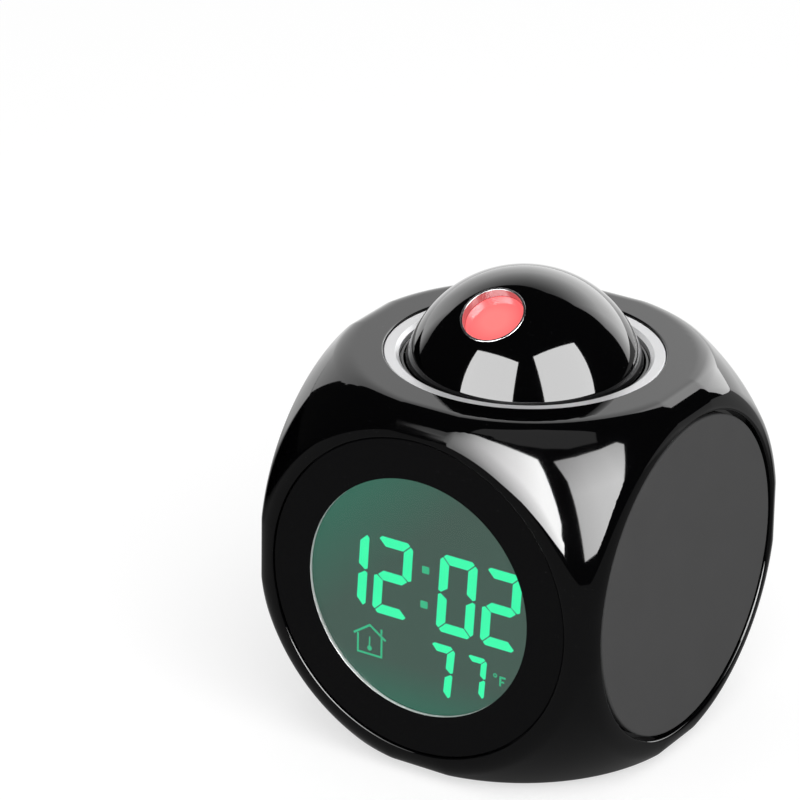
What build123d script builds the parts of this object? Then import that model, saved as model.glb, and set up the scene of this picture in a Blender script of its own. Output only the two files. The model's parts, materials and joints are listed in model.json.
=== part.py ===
from build123d import *
import os
from math import cos, radians, sin, sqrt, tan

# A cube-shaped desk clock with a projector ball on top. Millimetres, +Z up,
# display on the -Y side, origin on the table under the middle of the housing.
# Each of the cube's six faces holds one round or disc-shaped assembly in a seat.

# ---------------------------------------------------------------- housing
BODY = 80.0                 # width, depth and height of the cube
EDGE_R = 6.0                # rounding of the cube's edges
CORNER_CUT = 2.07           # the corner sphere passes this far inside the sharp edges
WALL = 2.2                  # moulded wall
FOOT_PROUD = 0.8            # feet below the housing
SEAT_MARGIN = 5.5           # from the round seats of five faces to the cube's sides
SEAT_FLOOR = 2.0            # plate behind each seat
FACE_INSET = 0.35           # discs lie this far below the cube's faces
LIP = 1.6                   # tongue along the parting line between the shells
FIT = 0.1                   # clearance between parts that are only assembled
RUN = 0.05                  # clearance of pins that turn in holes

# ---------------------------------------------------------------- screws
SCREW_R = 1.0
SCREW_HEAD_R = 1.9
SCREW_HEAD = 1.2
PILOT_R = 0.9
BOSS_R = 2.3
POST_R = 2.8                # long posts that join the two shells
POST_MARGIN = 9.0           # from the posts to the cube's sides
POST_V = 7.0
SCREW_BITE = 9.0            # thread length in a boss
HOUSING_SCREW_SINK = 30.0   # depth of the screw heads inside the rear posts
RIB = 1.2

# ---------------------------------------------------------------- side discs
SIDE_DISC_GAP = 0.85        # dark groove round each side disc
SIDE_DISC = 1.6
SIDE_DISC_ROUND = 0.45
PEG_R = 1.5
PEG = 3.4
PEG_PITCH_R = 22.0
PEG_SLEEVE = 1.2

# ---------------------------------------------------------------- display
BEZEL_WIDTH = 8.7
BEZEL = 1.4
BEZEL_CHAMFER = 0.25
APERTURE_LIP = 0.3
TRIM_WALL = 1.25
WINDOW = 0.55
DISPLAY_LEDGE = 3.0         # seat left around the display opening
LCD_MARGIN = 0.5            # the octagonal cell's flats lie this far outside the aperture
LCD_PANE = 1.1
LCD_LEDGE = 1.8
LCD_LEDGE_INSET = 1.35
GUIDE = 3.0
GUIDE_MARGIN = 0.8
GUIDE_BACK_GAP = 0.75       # between the light guide and the main board
BOARD = 1.6
BOARD_GAP = 1.2             # between the main board and the housing's posts
BOARD_EDGE = 2.0
STRIP = 1.5
BACKLIGHT_OUT = 1.15
BACKLIGHT_INSET = 3.6
BACKLIGHT_SIZE = (3.5, 1.6, 2.6)
CHIP_R = 6.5                # resin cap over the chip
CHIP = 1.4
CHIP_V = -6.0
CRYSTAL_R = 1.5
CRYSTAL = 8.0
CRYSTAL_AT = (-14.0, -4.0)
CAPACITOR_R = 2.5
CAPACITOR = 5.5
CAPACITOR_U = (13.0, 19.0)
CAPACITOR_V = -14.0

# ---------------------------------------------------------------- projector ball
BALL_DEPTH = 8.3            # ball centre below the housing's top face
BALL_WALL = 1.8
BALL_GAP = 0.25
BALL_LIP = 1.5
BALL_TONGUE = 1.0
BALL_MOUTH_R = 11.0         # opening opposite the lens, for the lead
BALL_SCREW_INSET = 8.2
BALL_SCREW_V = 6.0
BALL_SCREW_SINK = 7.0
PIVOT_R = 1.5
PIVOT_DEPTH = 4.7           # inner end of each pivot below the ball's surface
PIVOT_BOSS_R = 3.0
PIVOT_SEAT = 1.0            # solid boss behind each pivot
LENS_TILT = 32.0            # the lens leans this far towards the front at rest
LENS_R = 6.25
LENS = 3.2
LENS_INSET = 0.2
RIM_WALL = 0.5
RIM_PROUD = 0.15
BARREL_R = 8.4
BARREL_BORE_R = 5.2
BARREL_END = 4.0            # back of the barrel, measured from the ball centre
BARREL_FLANGE = 1.5
BARREL_SCREW_U = 12.0
FILM = 1.2
FILM_HALF = 4.2
FILM_AT = 12.0
LAMP_R = 2.5
LAMP = 4.2
LAMP_BOARD = 1.2
LAMP_BOARD_WIDTH = 10.0

# ---------------------------------------------------------------- ring and socket
RING_MARGIN = 11.4          # from the ring to the cube's sides
RING_WIDTH = 3.1
RING_GAP = 0.15
RING_TO_BALL = 0.3
RING_SEAT = 2.4
RING_INSET = 0.35
RING_LIP = 2.3
RING_DISH = 0.8
RING_EDGE = 0.25
SOCKET_WALL = 1.2
SOCKET_HEIGHT = 10.5        # from the ball centre down to the socket's foot
SOCKET_FOOT = 1.4
SOCKET_FOOT_WIDTH = 1.0
COLLAR_GAP = 0.35
COLLAR_INSET = 1.8
COLLAR_SHOULDER = 2.7
HOLE_GAP = 0.4
WASHER = 0.2

# ---------------------------------------------------------------- press carrier
CARRIER_WALL = 1.0
CARRIER_FLOOR = 1.4
CARRIER_GAP = 0.3
CARRIER_LEDGE = 1.45        # floor inside the socket's bore
CATCH = 0.8
PRESS_TRAVEL = 0.8
GUIDE_POST_OUT = 3.375      # from the carrier's wall to the posts' axes
GUIDE_POST_R = 2.0
GUIDE_GAP = 0.15
EAR = 2.0
EAR_R = 3.4
EAR_RISE = 3.6
SPRING_R = 2.6
SPRING_WIRE_R = 0.25
SPRING_LENGTH = 5.8
SPRING_TURNS = 4.0
NIB_WIDTH = 3.0

# ---------------------------------------------------------------- rear panel
REAR_SEAT = 3.1
PANEL = 1.5
PANEL_GAP = 0.3
PANEL_ROUND = 0.45
REAR_LEDGE = 6.0            # seat left around the rear opening
HOOK_GAP = 0.2
HOOK_WALL = 1.0
HOOK_BARB = 0.8
HOOK_WIDTH = 6.0
BUTTON_R = 3.3
BUTTON_PROUD = 1.0
BUTTON_FLANGE = 0.7
BUTTONS = ("mode_button", "set_button", "up_button", "down_button")
BUTTON_PITCH = 11.0
BUTTON_BELOW_VENTS = 6.1
BUTTON_TRAVEL = 0.5
SWITCH_PLUNGER = 0.35       # seen between a switch's body and its button
KEY_BOARD_GAP = 0.7
KEY_BOARD_BELOW = 7.0       # lower edge below the buttons
KEY_BOARD_TOP_CUT = 1.3
KEY_SCREW_INSET = (4.8, 4.3)
KEY_SCREW_LOW_V = 2.5
KEY_SCREW_HIGH_U = 10.0
SWITCH_HALF = 2.6
SWITCH_HEIGHT = 3.0
PLUNGER_R = 1.5
SNOOZE_SWITCH = (6.0, 4.0, 4.6)
SNOOZE_PLUNGER = 1.4
SNOOZE_SPARE = 1.1          # left between the carrier and the plunger at full travel
SLIDER_INSET = 5.8
SLIDER_WIDTH = 3.6
SLIDER_HEIGHT = 2.4
SLIDER_TRAVEL = 4.0
SLIDER_PROUD = 0.7
SLIDER_SHIELD = 0.8
SLIDER_SHIELD_OVER = (2.0, 0.8)
SLIDER_STEM = 1.2
SLIDER_STEM_LENGTH = 2.5
SLIDER_GROOVE = (0.4, 0.3)
SLIDE_SWITCH_HEIGHT = 4.4
SLIDE_SWITCH_END = 3.0
VENT_BELOW_SLIDER = 5.4
VENT_WIDTH = 7.0
VENT_PITCH = 1.8
VENT_HEIGHT = 1.0
SENSOR_R = 1.1
SENSOR_LEG_R = 0.3
SENSOR_LEG = 2.2
SPEAKER_TOP_GAP = 1.0       # below the key board
SPEAKER_FOOT_GAP = 3.0      # above the rear opening's edge
SPEAKER_DEPTH = 7.6
SPEAKER_CUP = 1.0
SPEAKER_FLANGE = 2.0
SPEAKER_SHEET = 0.7
CONE_PAPER = 0.5
CONE_DROP = 1.7
VOICE_R = 3.0
MAGNET_R = 7.5
GRILLE_HOLE_R = 0.8
GRILLE_MARGIN = 4.7
GRILLE_RINGS = 3

# ---------------------------------------------------------------- base
BASE_SEAT = 2.5
BASE_GAP = 0.3
BASE_INSET = 0.3
DOOR = 1.5
DOOR_GAP = 0.2
DOOR_LEDGE = 1.25
CELL_R = 5.15
CELL = 43.3
CELL_NUB_R = 1.9
CELL_NUB = 1.2
CELL_PITCH = 10.9
CELL_COUNT = 3
CELL_SPRING = 3.6
CONTACT = 0.4
CONTACT_WIDTH = 8.0
TUB_WALL = 1.5
TUB_CLEAR = 0.3
HINGE_R = 0.6
HINGE_SET_BACK = 2.2        # lets the door's square edge swing clear of the cover
HINGE_U = 11.0
HINGE_ARM = 4.0
HINGE_PIN = 6.4
LATCH_HALF = 4.5
LATCH_LENGTH = 8.0
LATCH_SLIT = 0.6
LATCH_GROOVE = (6.0, 0.5, 0.4)
LATCH_GROOVE_PITCH = 1.5
HINGE_ARM_ROOT = 1.0
SCOOP_R = 5.0
SCOOP = 0.9
FOOT_R = 3.5
FOOT_SINK = 0.75
FOOT_INSET = 4.1
FOOT_ANGLE = 35.5
BASE_SCREW_INSET = 5.7
BASE_SCREW_V = 6.0
BASE_SCREW_SINK = 1.3

# ---------------------------------------------------------------- derived places
HALF = BODY / 2
CENTRE_Z = FOOT_PROUD + HALF
TOP_Z = CENTRE_Z + HALF
CORNER_SPHERE_R = sqrt(2) * HALF - CORNER_CUT
SEAT_R = HALF - SEAT_MARGIN
POST_U = HALF - POST_MARGIN
SIDE_DISC_R = SEAT_R - SIDE_DISC_GAP
RING_R = HALF - RING_MARGIN
RING_SEAT_R = RING_R + RING_GAP
RING_BORE_R = RING_R - RING_WIDTH
BALL_R = RING_BORE_R - RING_TO_BALL
FRONT_SEAT = FACE_INSET + BEZEL
SIDE_SEAT = FACE_INSET + SIDE_DISC + RUN
SEATS = {
    "front": (SEAT_R, FRONT_SEAT),
    "rear": (SEAT_R, REAR_SEAT),
    "left": (SEAT_R, SIDE_SEAT),
    "right": (SEAT_R, SIDE_SEAT),
    "bottom": (SEAT_R, BASE_SEAT),
    "top": (RING_SEAT_R, RING_SEAT),
}
MIDDLE = (0, 0, CENTRE_Z)
FACES = {
    "front": Plane(MIDDLE, x_dir=(1, 0, 0), z_dir=(0, -1, 0)),
    "rear": Plane(MIDDLE, x_dir=(-1, 0, 0), z_dir=(0, 1, 0)),
    "left": Plane(MIDDLE, x_dir=(0, -1, 0), z_dir=(-1, 0, 0)),
    "right": Plane(MIDDLE, x_dir=(0, 1, 0), z_dir=(1, 0, 0)),
    "top": Plane(MIDDLE, x_dir=(1, 0, 0), z_dir=(0, 0, 1)),
    "bottom": Plane(MIDDLE, x_dir=(1, 0, 0), z_dir=(0, 0, -1)),
}

BALL_Z = TOP_Z - BALL_DEPTH
BALL_IN_R = BALL_R - BALL_WALL
BALL_SCREW_U = BALL_R - BALL_SCREW_INSET
PIVOT_IN = BALL_R - PIVOT_DEPTH
SOCKET_IN_R = BALL_R + BALL_GAP
SOCKET_R = SOCKET_IN_R + SOCKET_WALL
SOCKET_FOOT_R = SOCKET_R + SOCKET_FOOT_WIDTH
SOCKET_Z = BALL_Z - SOCKET_HEIGHT
TOP_HOLE_R = SOCKET_R + HOLE_GAP
CARRIER_IN_R = SOCKET_FOOT_R + CARRIER_GAP
CARRIER_R = CARRIER_IN_R + CARRIER_WALL
CARRIER_BORE_R = SOCKET_IN_R - CARRIER_LEDGE
GUIDE_POST_AT = (CARRIER_R + GUIDE_POST_OUT) / sqrt(2)
CARRIER_FLOOR_Z = SOCKET_Z - WASHER
CARRIER_Z = CARRIER_FLOOR_Z - CARRIER_FLOOR
CARRIER_TOP_Z = TOP_Z - RING_SEAT - SEAT_FLOOR
EAR_Z = CARRIER_Z + EAR_RISE
GUIDE_POST_Z = EAR_Z - SPRING_LENGTH

BEZEL_R = SEAT_R - FIT
APERTURE_R = BEZEL_R - BEZEL_WIDTH
TRIM_R = APERTURE_R + TRIM_WALL
DISPLAY_OPENING_R = SEAT_R - DISPLAY_LEDGE
LCD_HALF = APERTURE_R + LCD_MARGIN
LCD_SIDE = LCD_HALF * tan(radians(22.5))    # half of one side of the octagon
LCD_LEDGE_WIDTH = 2 * (LCD_SIDE - LCD_LEDGE_INSET)
LCD_FRONT = FRONT_SEAT + RUN
GUIDE_FRONT = LCD_FRONT + 2 * LCD_PANE + RUN
BOARD_DEPTH = GUIDE_FRONT + GUIDE + GUIDE_BACK_GAP
BOARD_HALF = POST_U - POST_R - BOARD_GAP
BOARD_SCREW_AT = BOARD_HALF - BOARD_EDGE
BACKLIGHT_U = LCD_SIDE + BACKLIGHT_OUT
BACKLIGHT_V = LCD_HALF - BACKLIGHT_INSET

PANEL_R = SEAT_R - PANEL_GAP
REAR_OPENING_R = SEAT_R - REAR_LEDGE
HOOK_R = REAR_OPENING_R - HOOK_GAP
KEY_BOARD_R = REAR_OPENING_R - KEY_BOARD_GAP
SLIDER_V = KEY_BOARD_R - SLIDER_INSET
VENT_V = SLIDER_V - VENT_BELOW_SLIDER
BUTTON_V = VENT_V - BUTTON_BELOW_VENTS
KEY_BOARD_LOW = BUTTON_V - KEY_BOARD_BELOW
KEY_BOARD_HIGH = KEY_BOARD_R - KEY_BOARD_TOP_CUT
KEY_SCREW_LOW = (KEY_BOARD_R - KEY_SCREW_INSET[0], KEY_BOARD_LOW + KEY_SCREW_LOW_V)
KEY_SCREW_HIGH = (KEY_SCREW_HIGH_U, KEY_BOARD_R - KEY_SCREW_INSET[1])
SPEAKER_TOP = KEY_BOARD_LOW - SPEAKER_TOP_GAP
SPEAKER_FOOT = SPEAKER_FOOT_GAP - REAR_OPENING_R
SPEAKER_R = (SPEAKER_TOP - SPEAKER_FOOT) / 2
SPEAKER_V = (SPEAKER_TOP + SPEAKER_FOOT) / 2
GRILLE_PITCH = (SPEAKER_R - GRILLE_MARGIN) / GRILLE_RINGS
PANEL_DEPTH = REAR_SEAT - PANEL
BUTTON_BACK = REAR_SEAT + FIT + BUTTON_FLANGE
SWITCH_TOP = BUTTON_BACK + BUTTON_TRAVEL + RUN + SWITCH_PLUNGER
KEY_BOARD_DEPTH = SWITCH_TOP + SWITCH_HEIGHT
KEY_BOARD_BACK = KEY_BOARD_DEPTH + BOARD

TUB_WIDTH = (CELL_COUNT - 1) * CELL_PITCH + 2 * (CELL_R + TUB_CLEAR)
TUB_LENGTH = CELL + CELL_NUB + CELL_SPRING + 2 * CONTACT + TUB_CLEAR
DOOR_INNER = BASE_INSET + DOOR
CELL_DEPTH = DOOR_INNER + TUB_CLEAR + CELL_R
TUB_ROOF = CELL_DEPTH + CELL_R + TUB_CLEAR
DOOR_U = TUB_WIDTH / 2 + DOOR_LEDGE
DOOR_V = TUB_LENGTH / 2 + DOOR_LEDGE
HINGE_Y = -(DOOR_V - DOOR_GAP) - HINGE_SET_BACK
HINGE_Z = FOOT_PROUD + DOOR_INNER - HINGE_R - RUN
BASE_R = SEAT_R - BASE_GAP
FOOT_AT = tuple((BASE_R - FOOT_INSET) * way(radians(FOOT_ANGLE)) for way in (cos, sin))
BASE_SCREW_AT = (BASE_R - BASE_SCREW_INSET, BASE_SCREW_V)

FOUR_WAYS = [(u, v) for u in (-1, 1) for v in (-1, 1)]


# ---------------------------------------------------------------- helpers
def at_face(face, u=0.0, v=0.0, depth=0.0):
    """Place on a face: u and v across it, depth below it, +Z outwards."""
    return FACES[face].location * Pos(u, v, HALF - depth)


def plug(face, radius, outer, inner, u=0.0, v=0.0):
    """Cylinder square to a face, between two depths below it."""
    return at_face(face, u, v, (outer + inner) / 2) * Cylinder(radius, inner - outer)


def slab(face, width, height, outer, inner, u=0.0, v=0.0):
    """Rectangular block square to a face, between two depths below it."""
    return at_face(face, u, v, (outer + inner) / 2) * Box(width, height, inner - outer)


def tube(face, radius, bore, outer, inner, u=0.0, v=0.0):
    """Round tube square to a face, between two depths below it."""
    return plug(face, radius, outer, inner, u, v) - plug(face, bore, outer, inner, u, v)


def post(radius, low, high, x=0.0, y=0.0):
    """Upright cylinder between two heights."""
    return Pos(x, y, (low + high) / 2) * Cylinder(radius, high - low)


def ball(radius):
    return Pos(0, 0, BALL_Z) * Sphere(radius)


def on_lens_axis(u=0.0, v=0.0, along=0.0):
    """Place measured from the ball centre, with +Z along the tilted lens axis."""
    return Pos(0, 0, BALL_Z) * Rot(LENS_TILT, 0, 0) * Pos(u, v, along)


def lens_plug(radius, low, high, u=0.0, v=0.0):
    """Cylinder parallel to the lens axis, between two distances from the ball centre."""
    return on_lens_axis(u, v, (low + high) / 2) * Cylinder(radius, high - low)


def screws(face, spots, head_depth, length):
    """Round-headed screws whose heads lie on head_depth and point into the clock."""
    made = []
    for u, v in spots:
        head = plug(face, SCREW_HEAD_R, head_depth - SCREW_HEAD, head_depth, u, v)
        shank = plug(face, SCREW_R - FIT, head_depth, head_depth + length, u, v)
        slot = slab(face, 2 * SCREW_HEAD_R, SCREW_HEAD / 3,
                    head_depth - SCREW_HEAD, head_depth - SCREW_HEAD / 2, u, v)
        made.append(head + shank - slot)
    return Compound(children=made)


def coil(radius, wire_r, length, turns):
    """Helical wire spring along +Z, with its lowest point on the plane Z = 0."""
    path = Helix(pitch=(length - 2 * wire_r) / turns, height=length - 2 * wire_r, radius=radius)
    section = Plane(origin=path @ 0, z_dir=path % 0) * RegularPolygon(wire_r, 6)
    return Pos(0, 0, wire_r) * sweep(section, path=path, is_frenet=True)


def octagon(half, outer, inner):
    """Regular octagon across the front face, with half its width across the flats."""
    profile = RegularPolygon(half, 8, major_radius=False, rotation=22.5)
    return at_face("front", depth=inner) * extrude(profile, inner - outer)


# ---------------------------------------------------------------- housing shells
def rounded_form(inset):
    """The housing's form, pushed inwards by inset.

    A small sharp cube is cut by a sphere and grown outwards with rolling corners,
    so that its edges, its spherical corners and the blends between them share one
    radius, and any inset gives a wall of the same thickness everywhere.
    """
    side = BODY - 2 * EDGE_R
    core = Box(side, side, side) & Sphere(CORNER_SPHERE_R - EDGE_R)
    return Pos(*MIDDLE) * offset(core, amount=EDGE_R - inset, kind=Kind.ARC)


def shell_fixings(face, within):
    """Screw posts to the parting line, each with a rib to the side wall."""
    made = []
    rib_end = HALF - SIDE_SEAT - SEAT_FLOOR / 2
    for su, sv in FOUR_WAYS:
        made.append(plug(face, POST_R, WALL / 2, HALF, su * POST_U, sv * POST_V))
        made.append(slab(face, rib_end - POST_U, RIB, WALL / 2, HALF,
                         su * (POST_U + rib_end) / 2, sv * POST_V) & within)
    return made


def parting_band(outer_form, inner_form, length, margin):
    """Band of the wall along the parting line, left out where a face has a seat."""
    zone = Pos(0, length / 2, CENTRE_Z) * Box(BODY, length, BODY)
    band = (outer_form - inner_form) & zone
    return band - [plug(face, radius + WALL + margin, -EDGE_R, 2 * WALL)
                   for face, (radius, _) in SEATS.items()]


def shells():
    """Front and rear shells, joined at the middle plane by a tongue in a rebate."""
    outer_form = rounded_form(0)
    inner_form = rounded_form(WALL)
    plates = [plug(face, radius + WALL, WALL / 2, depth + SEAT_FLOOR)
              for face, (radius, depth) in SEATS.items()]
    body = outer_form - inner_form
    body += [plate & outer_form for plate in plates]
    front = split(body, Plane.XZ, keep=Keep.TOP)
    rear = split(body, Plane.XZ, keep=Keep.BOTTOM)

    middle_form = rounded_form(WALL / 2)
    front += parting_band(rounded_form(WALL / 2 + RUN), inner_form, LIP, FIT)
    rear -= parting_band(middle_form, inner_form, LIP + FIT, 0)

    front += shell_fixings("front", middle_form)
    rear += shell_fixings("rear", middle_form)
    for su, sv in FOUR_WAYS:
        front += plug("front", BOSS_R, WALL / 2, BOARD_DEPTH - RUN,
                      su * BOARD_SCREW_AT, sv * BOARD_SCREW_AT)
        guide = post(GUIDE_POST_R, GUIDE_POST_Z, TOP_Z - WALL / 2,
                     su * GUIDE_POST_AT, sv * GUIDE_POST_AT)
        base_boss = plug("bottom", BOSS_R, BASE_SEAT, BASE_SEAT + SCREW_BITE,
                         su * BASE_SCREW_AT[0], sv * BASE_SCREW_AT[1])
        sleeve_r = PEG_PITCH_R / sqrt(2)
        side = "right" if su > 0 else "left"
        sleeve = plug(side, PEG_R + PEG_SLEEVE, SIDE_SEAT, SIDE_SEAT + PEG + FIT,
                      sleeve_r if side == "right" else -sleeve_r, sv * sleeve_r)
        far_sleeve = plug(side, PEG_R + PEG_SLEEVE, SIDE_SEAT, SIDE_SEAT + PEG + FIT,
                          -sleeve_r if side == "right" else sleeve_r, sv * sleeve_r)
        if sv < 0:
            front += guide
        else:
            rear += guide
        if sv > 0:
            front += base_boss
        else:
            rear += base_boss
        rear += sleeve
        front += far_sleeve

    cuts = seat_cuts()
    front -= cuts
    rear -= cuts
    for su, sv in FOUR_WAYS:
        u, v = su * POST_U, sv * POST_V
        front -= plug("front", PILOT_R, HALF - SCREW_BITE - FIT, HALF, u, v)
        rear -= plug("rear", SCREW_HEAD_R + FIT, REAR_SEAT - FIT, HOUSING_SCREW_SINK, u, v)
        rear -= plug("rear", SCREW_R + FIT, HOUSING_SCREW_SINK - FIT, HALF + FIT, u, v)
    return front, rear


def seat_cuts():
    """Everything cut from both shells: seats, openings, peg holes and pilot holes."""
    outside = EDGE_R
    cuts = [plug(face, radius, -outside, depth) for face, (radius, depth) in SEATS.items()]
    cuts.append(plug("top", TOP_HOLE_R, 0, RING_SEAT + SEAT_FLOOR + FIT))
    cuts.append(plug("front", DISPLAY_OPENING_R, 0, FRONT_SEAT + SEAT_FLOOR + FIT))
    cuts.append(plug("rear", REAR_OPENING_R, 0, REAR_SEAT + SEAT_FLOOR + FIT))
    cuts.append(slab("bottom", TUB_WIDTH + 2 * (TUB_WALL + DOOR_GAP),
                     TUB_LENGTH + 2 * (TUB_WALL + DOOR_GAP),
                     0, BASE_SEAT + SEAT_FLOOR + FIT))
    at = PEG_PITCH_R / sqrt(2)
    for su, sv in FOUR_WAYS:
        for side in ("left", "right"):
            cuts.append(plug(side, PEG_R + RUN, 0, SIDE_SEAT + PEG + FIT, su * at, sv * at))
        cuts.append(plug("front", PILOT_R, BOARD_DEPTH - SCREW_BITE / 2, BOARD_DEPTH,
                         su * BOARD_SCREW_AT, sv * BOARD_SCREW_AT))
        cuts.append(post(PILOT_R, GUIDE_POST_Z - FIT, GUIDE_POST_Z + SCREW_BITE,
                         su * GUIDE_POST_AT, sv * GUIDE_POST_AT))
        cuts.append(plug("bottom", PILOT_R, 0, BASE_SEAT + SCREW_BITE - WALL / 2,
                         su * BASE_SCREW_AT[0], sv * BASE_SCREW_AT[1]))
    return cuts


def housing_screws():
    spots = [(su * POST_U, sv * POST_V) for su, sv in FOUR_WAYS]
    return screws("rear", spots, HOUSING_SCREW_SINK, HALF - HOUSING_SCREW_SINK + SCREW_BITE)


def side_disc(side):
    """Smooth round cover with four pegs, which grip a pair of holes in each shell."""
    disc = plug(side, SIDE_DISC_R, FACE_INSET, FACE_INSET + SIDE_DISC)
    rim = disc.edges().group_by(Axis((0, 0, 0), FACES[side].z_dir))[-1]
    disc = fillet(rim, SIDE_DISC_ROUND)
    at = PEG_PITCH_R / sqrt(2)
    for su, sv in FOUR_WAYS:
        disc += plug(side, PEG_R, FACE_INSET + SIDE_DISC, SIDE_SEAT + PEG, su * at, sv * at)
    return disc


# ---------------------------------------------------------------- display
def front_bezel():
    """Black disc whose round aperture has a thin lip over the bright trim ring."""
    depth = FACE_INSET
    disc = plug("front", BEZEL_R, depth, depth + BEZEL)
    rim = disc.edges().group_by(Axis.Y)[0]
    disc = chamfer(rim, BEZEL_CHAMFER)
    disc -= plug("front", APERTURE_R, 0, FRONT_SEAT + FIT)
    return disc - plug("front", TRIM_R + RUN, depth + APERTURE_LIP, FRONT_SEAT + FIT)


def display_trim():
    return tube("front", TRIM_R, APERTURE_R, FACE_INSET + APERTURE_LIP + RUN, FRONT_SEAT)


def display_window():
    return plug("front", APERTURE_R - RUN, FRONT_SEAT - WINDOW, FRONT_SEAT - RUN)


def lcd_panel():
    """Two glass panes; the rear one has a contact ledge along its lower edge."""
    panes = octagon(LCD_HALF, LCD_FRONT, LCD_FRONT + 2 * LCD_PANE)
    ledge = slab("front", LCD_LEDGE_WIDTH, 2 * LCD_LEDGE,
                 LCD_FRONT + LCD_PANE, LCD_FRONT + 2 * LCD_PANE, v=-LCD_HALF)
    return panes + ledge


def lcd_frame():
    """Moulded frame around the cell and the light guide, clear of the screw posts."""
    step = FRONT_SEAT + SEAT_FLOOR + FIT
    back = BOARD_DEPTH - FIT
    flange_r = sqrt(2) * BOARD_SCREW_AT - BOSS_R - FIT
    frame = plug("front", DISPLAY_OPENING_R - 3 * FIT, LCD_FRONT, back)
    frame += plug("front", flange_r, step, back)
    frame -= octagon(LCD_HALF + FIT, 0, BOARD_DEPTH)
    frame -= slab("front", LCD_LEDGE_WIDTH + 2 * FIT, 2 * (LCD_LEDGE + FIT),
                  LCD_FRONT - FIT, BOARD_DEPTH, v=-LCD_HALF)
    for su, sv in FOUR_WAYS:
        frame -= plug("front", POST_R + 3 * FIT, 0, BOARD_DEPTH, su * POST_U, sv * POST_V)
    return frame


def backlight_spots():
    return [(-BACKLIGHT_U, BACKLIGHT_V), (BACKLIGHT_U, BACKLIGHT_V)]


def light_guide():
    """Milky plate behind the cell, notched where the two lamps shine into it."""
    guide = octagon(LCD_HALF - GUIDE_MARGIN, GUIDE_FRONT, GUIDE_FRONT + GUIDE)
    width, height, depth = BACKLIGHT_SIZE
    for u, v in backlight_spots():
        guide -= slab("front", width + 4 * FIT, height + 4 * FIT,
                      BOARD_DEPTH - depth - 2 * FIT, BOARD_DEPTH, u, v)
    return guide


def backlight_lamps():
    width, height, depth = BACKLIGHT_SIZE
    return Compound(children=[
        slab("front", width, height, BOARD_DEPTH - depth, BOARD_DEPTH, u, v)
        for u, v in backlight_spots()])


def lcd_connector():
    """Rubber strip that carries the contacts from the board to the glass ledge."""
    return slab("front", LCD_LEDGE_WIDTH - 2 * STRIP, STRIP, LCD_FRONT + 2 * LCD_PANE, BOARD_DEPTH,
                v=-LCD_HALF - LCD_LEDGE / 2)


def main_board():
    board = slab("front", 2 * BOARD_HALF, 2 * BOARD_HALF, BOARD_DEPTH, BOARD_DEPTH + BOARD)
    board = fillet(board.edges().filter_by(Axis.Y), BOARD_HALF - BOARD_SCREW_AT)
    for su, sv in FOUR_WAYS:
        board -= plug("front", SCREW_R + FIT, 0, HALF, su * BOARD_SCREW_AT, sv * BOARD_SCREW_AT)
    return board


def board_screws():
    spots = [(su * BOARD_SCREW_AT, sv * BOARD_SCREW_AT) for su, sv in FOUR_WAYS]
    made = []
    depth = BOARD_DEPTH + BOARD
    for u, v in spots:
        head = plug("front", SCREW_HEAD_R, depth, depth + SCREW_HEAD, u, v)
        shank = plug("front", PILOT_R - FIT, BOARD_DEPTH - SCREW_BITE / 2 + FIT, depth, u, v)
        made.append(head + shank)
    return Compound(children=made)


def board_parts():
    """Chip under a resin cap, a crystal can and two round capacitors."""
    back = BOARD_DEPTH + BOARD
    chip = plug("front", CHIP_R, back, back + CHIP, v=CHIP_V)
    chip = fillet(chip.edges().group_by(Axis.Y)[-1], CHIP * 0.7)
    crystal = at_face("front", *CRYSTAL_AT, back + CRYSTAL_R + FIT) * Rot(90, 0, 0) * Cylinder(
        CRYSTAL_R, CRYSTAL)
    made = [chip, crystal]
    for u in CAPACITOR_U:
        made.append(plug("front", CAPACITOR_R, back, back + CAPACITOR, u, CAPACITOR_V))
    return Compound(children=made)


# ---------------------------------------------------------------- projector ball
def pivot_boss():
    boss = Pos(0, 0, BALL_Z) * Rot(0, 90, 0) * Cylinder(PIVOT_BOSS_R, 2 * BALL_R)
    core = Pos(0, 0, BALL_Z) * Box(
        2 * (PIVOT_IN - PIVOT_SEAT), 4 * PIVOT_BOSS_R, 4 * PIVOT_BOSS_R)
    return (boss - core) & ball(BALL_R - BALL_WALL / 2)


def pivot_bar(radius, end):
    """The two pivots on one line through the ball centre, as cut or as pins."""
    bar = Pos(0, 0, BALL_Z) * Rot(0, 90, 0) * Cylinder(radius, 2 * end)
    core = Pos(0, 0, BALL_Z) * Box(2 * PIVOT_IN, 4 * radius, 4 * radius)
    return bar - core


def ball_bosses(low, high):
    """Upright screw bosses inside the ball, between two heights about its centre."""
    made = []
    for side in (-1, 1):
        boss = post(BOSS_R, BALL_Z + low, BALL_Z + high, side * BALL_SCREW_U, BALL_SCREW_V)
        made.append(boss & ball(BALL_R - BALL_WALL / 2))
    return made


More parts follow.
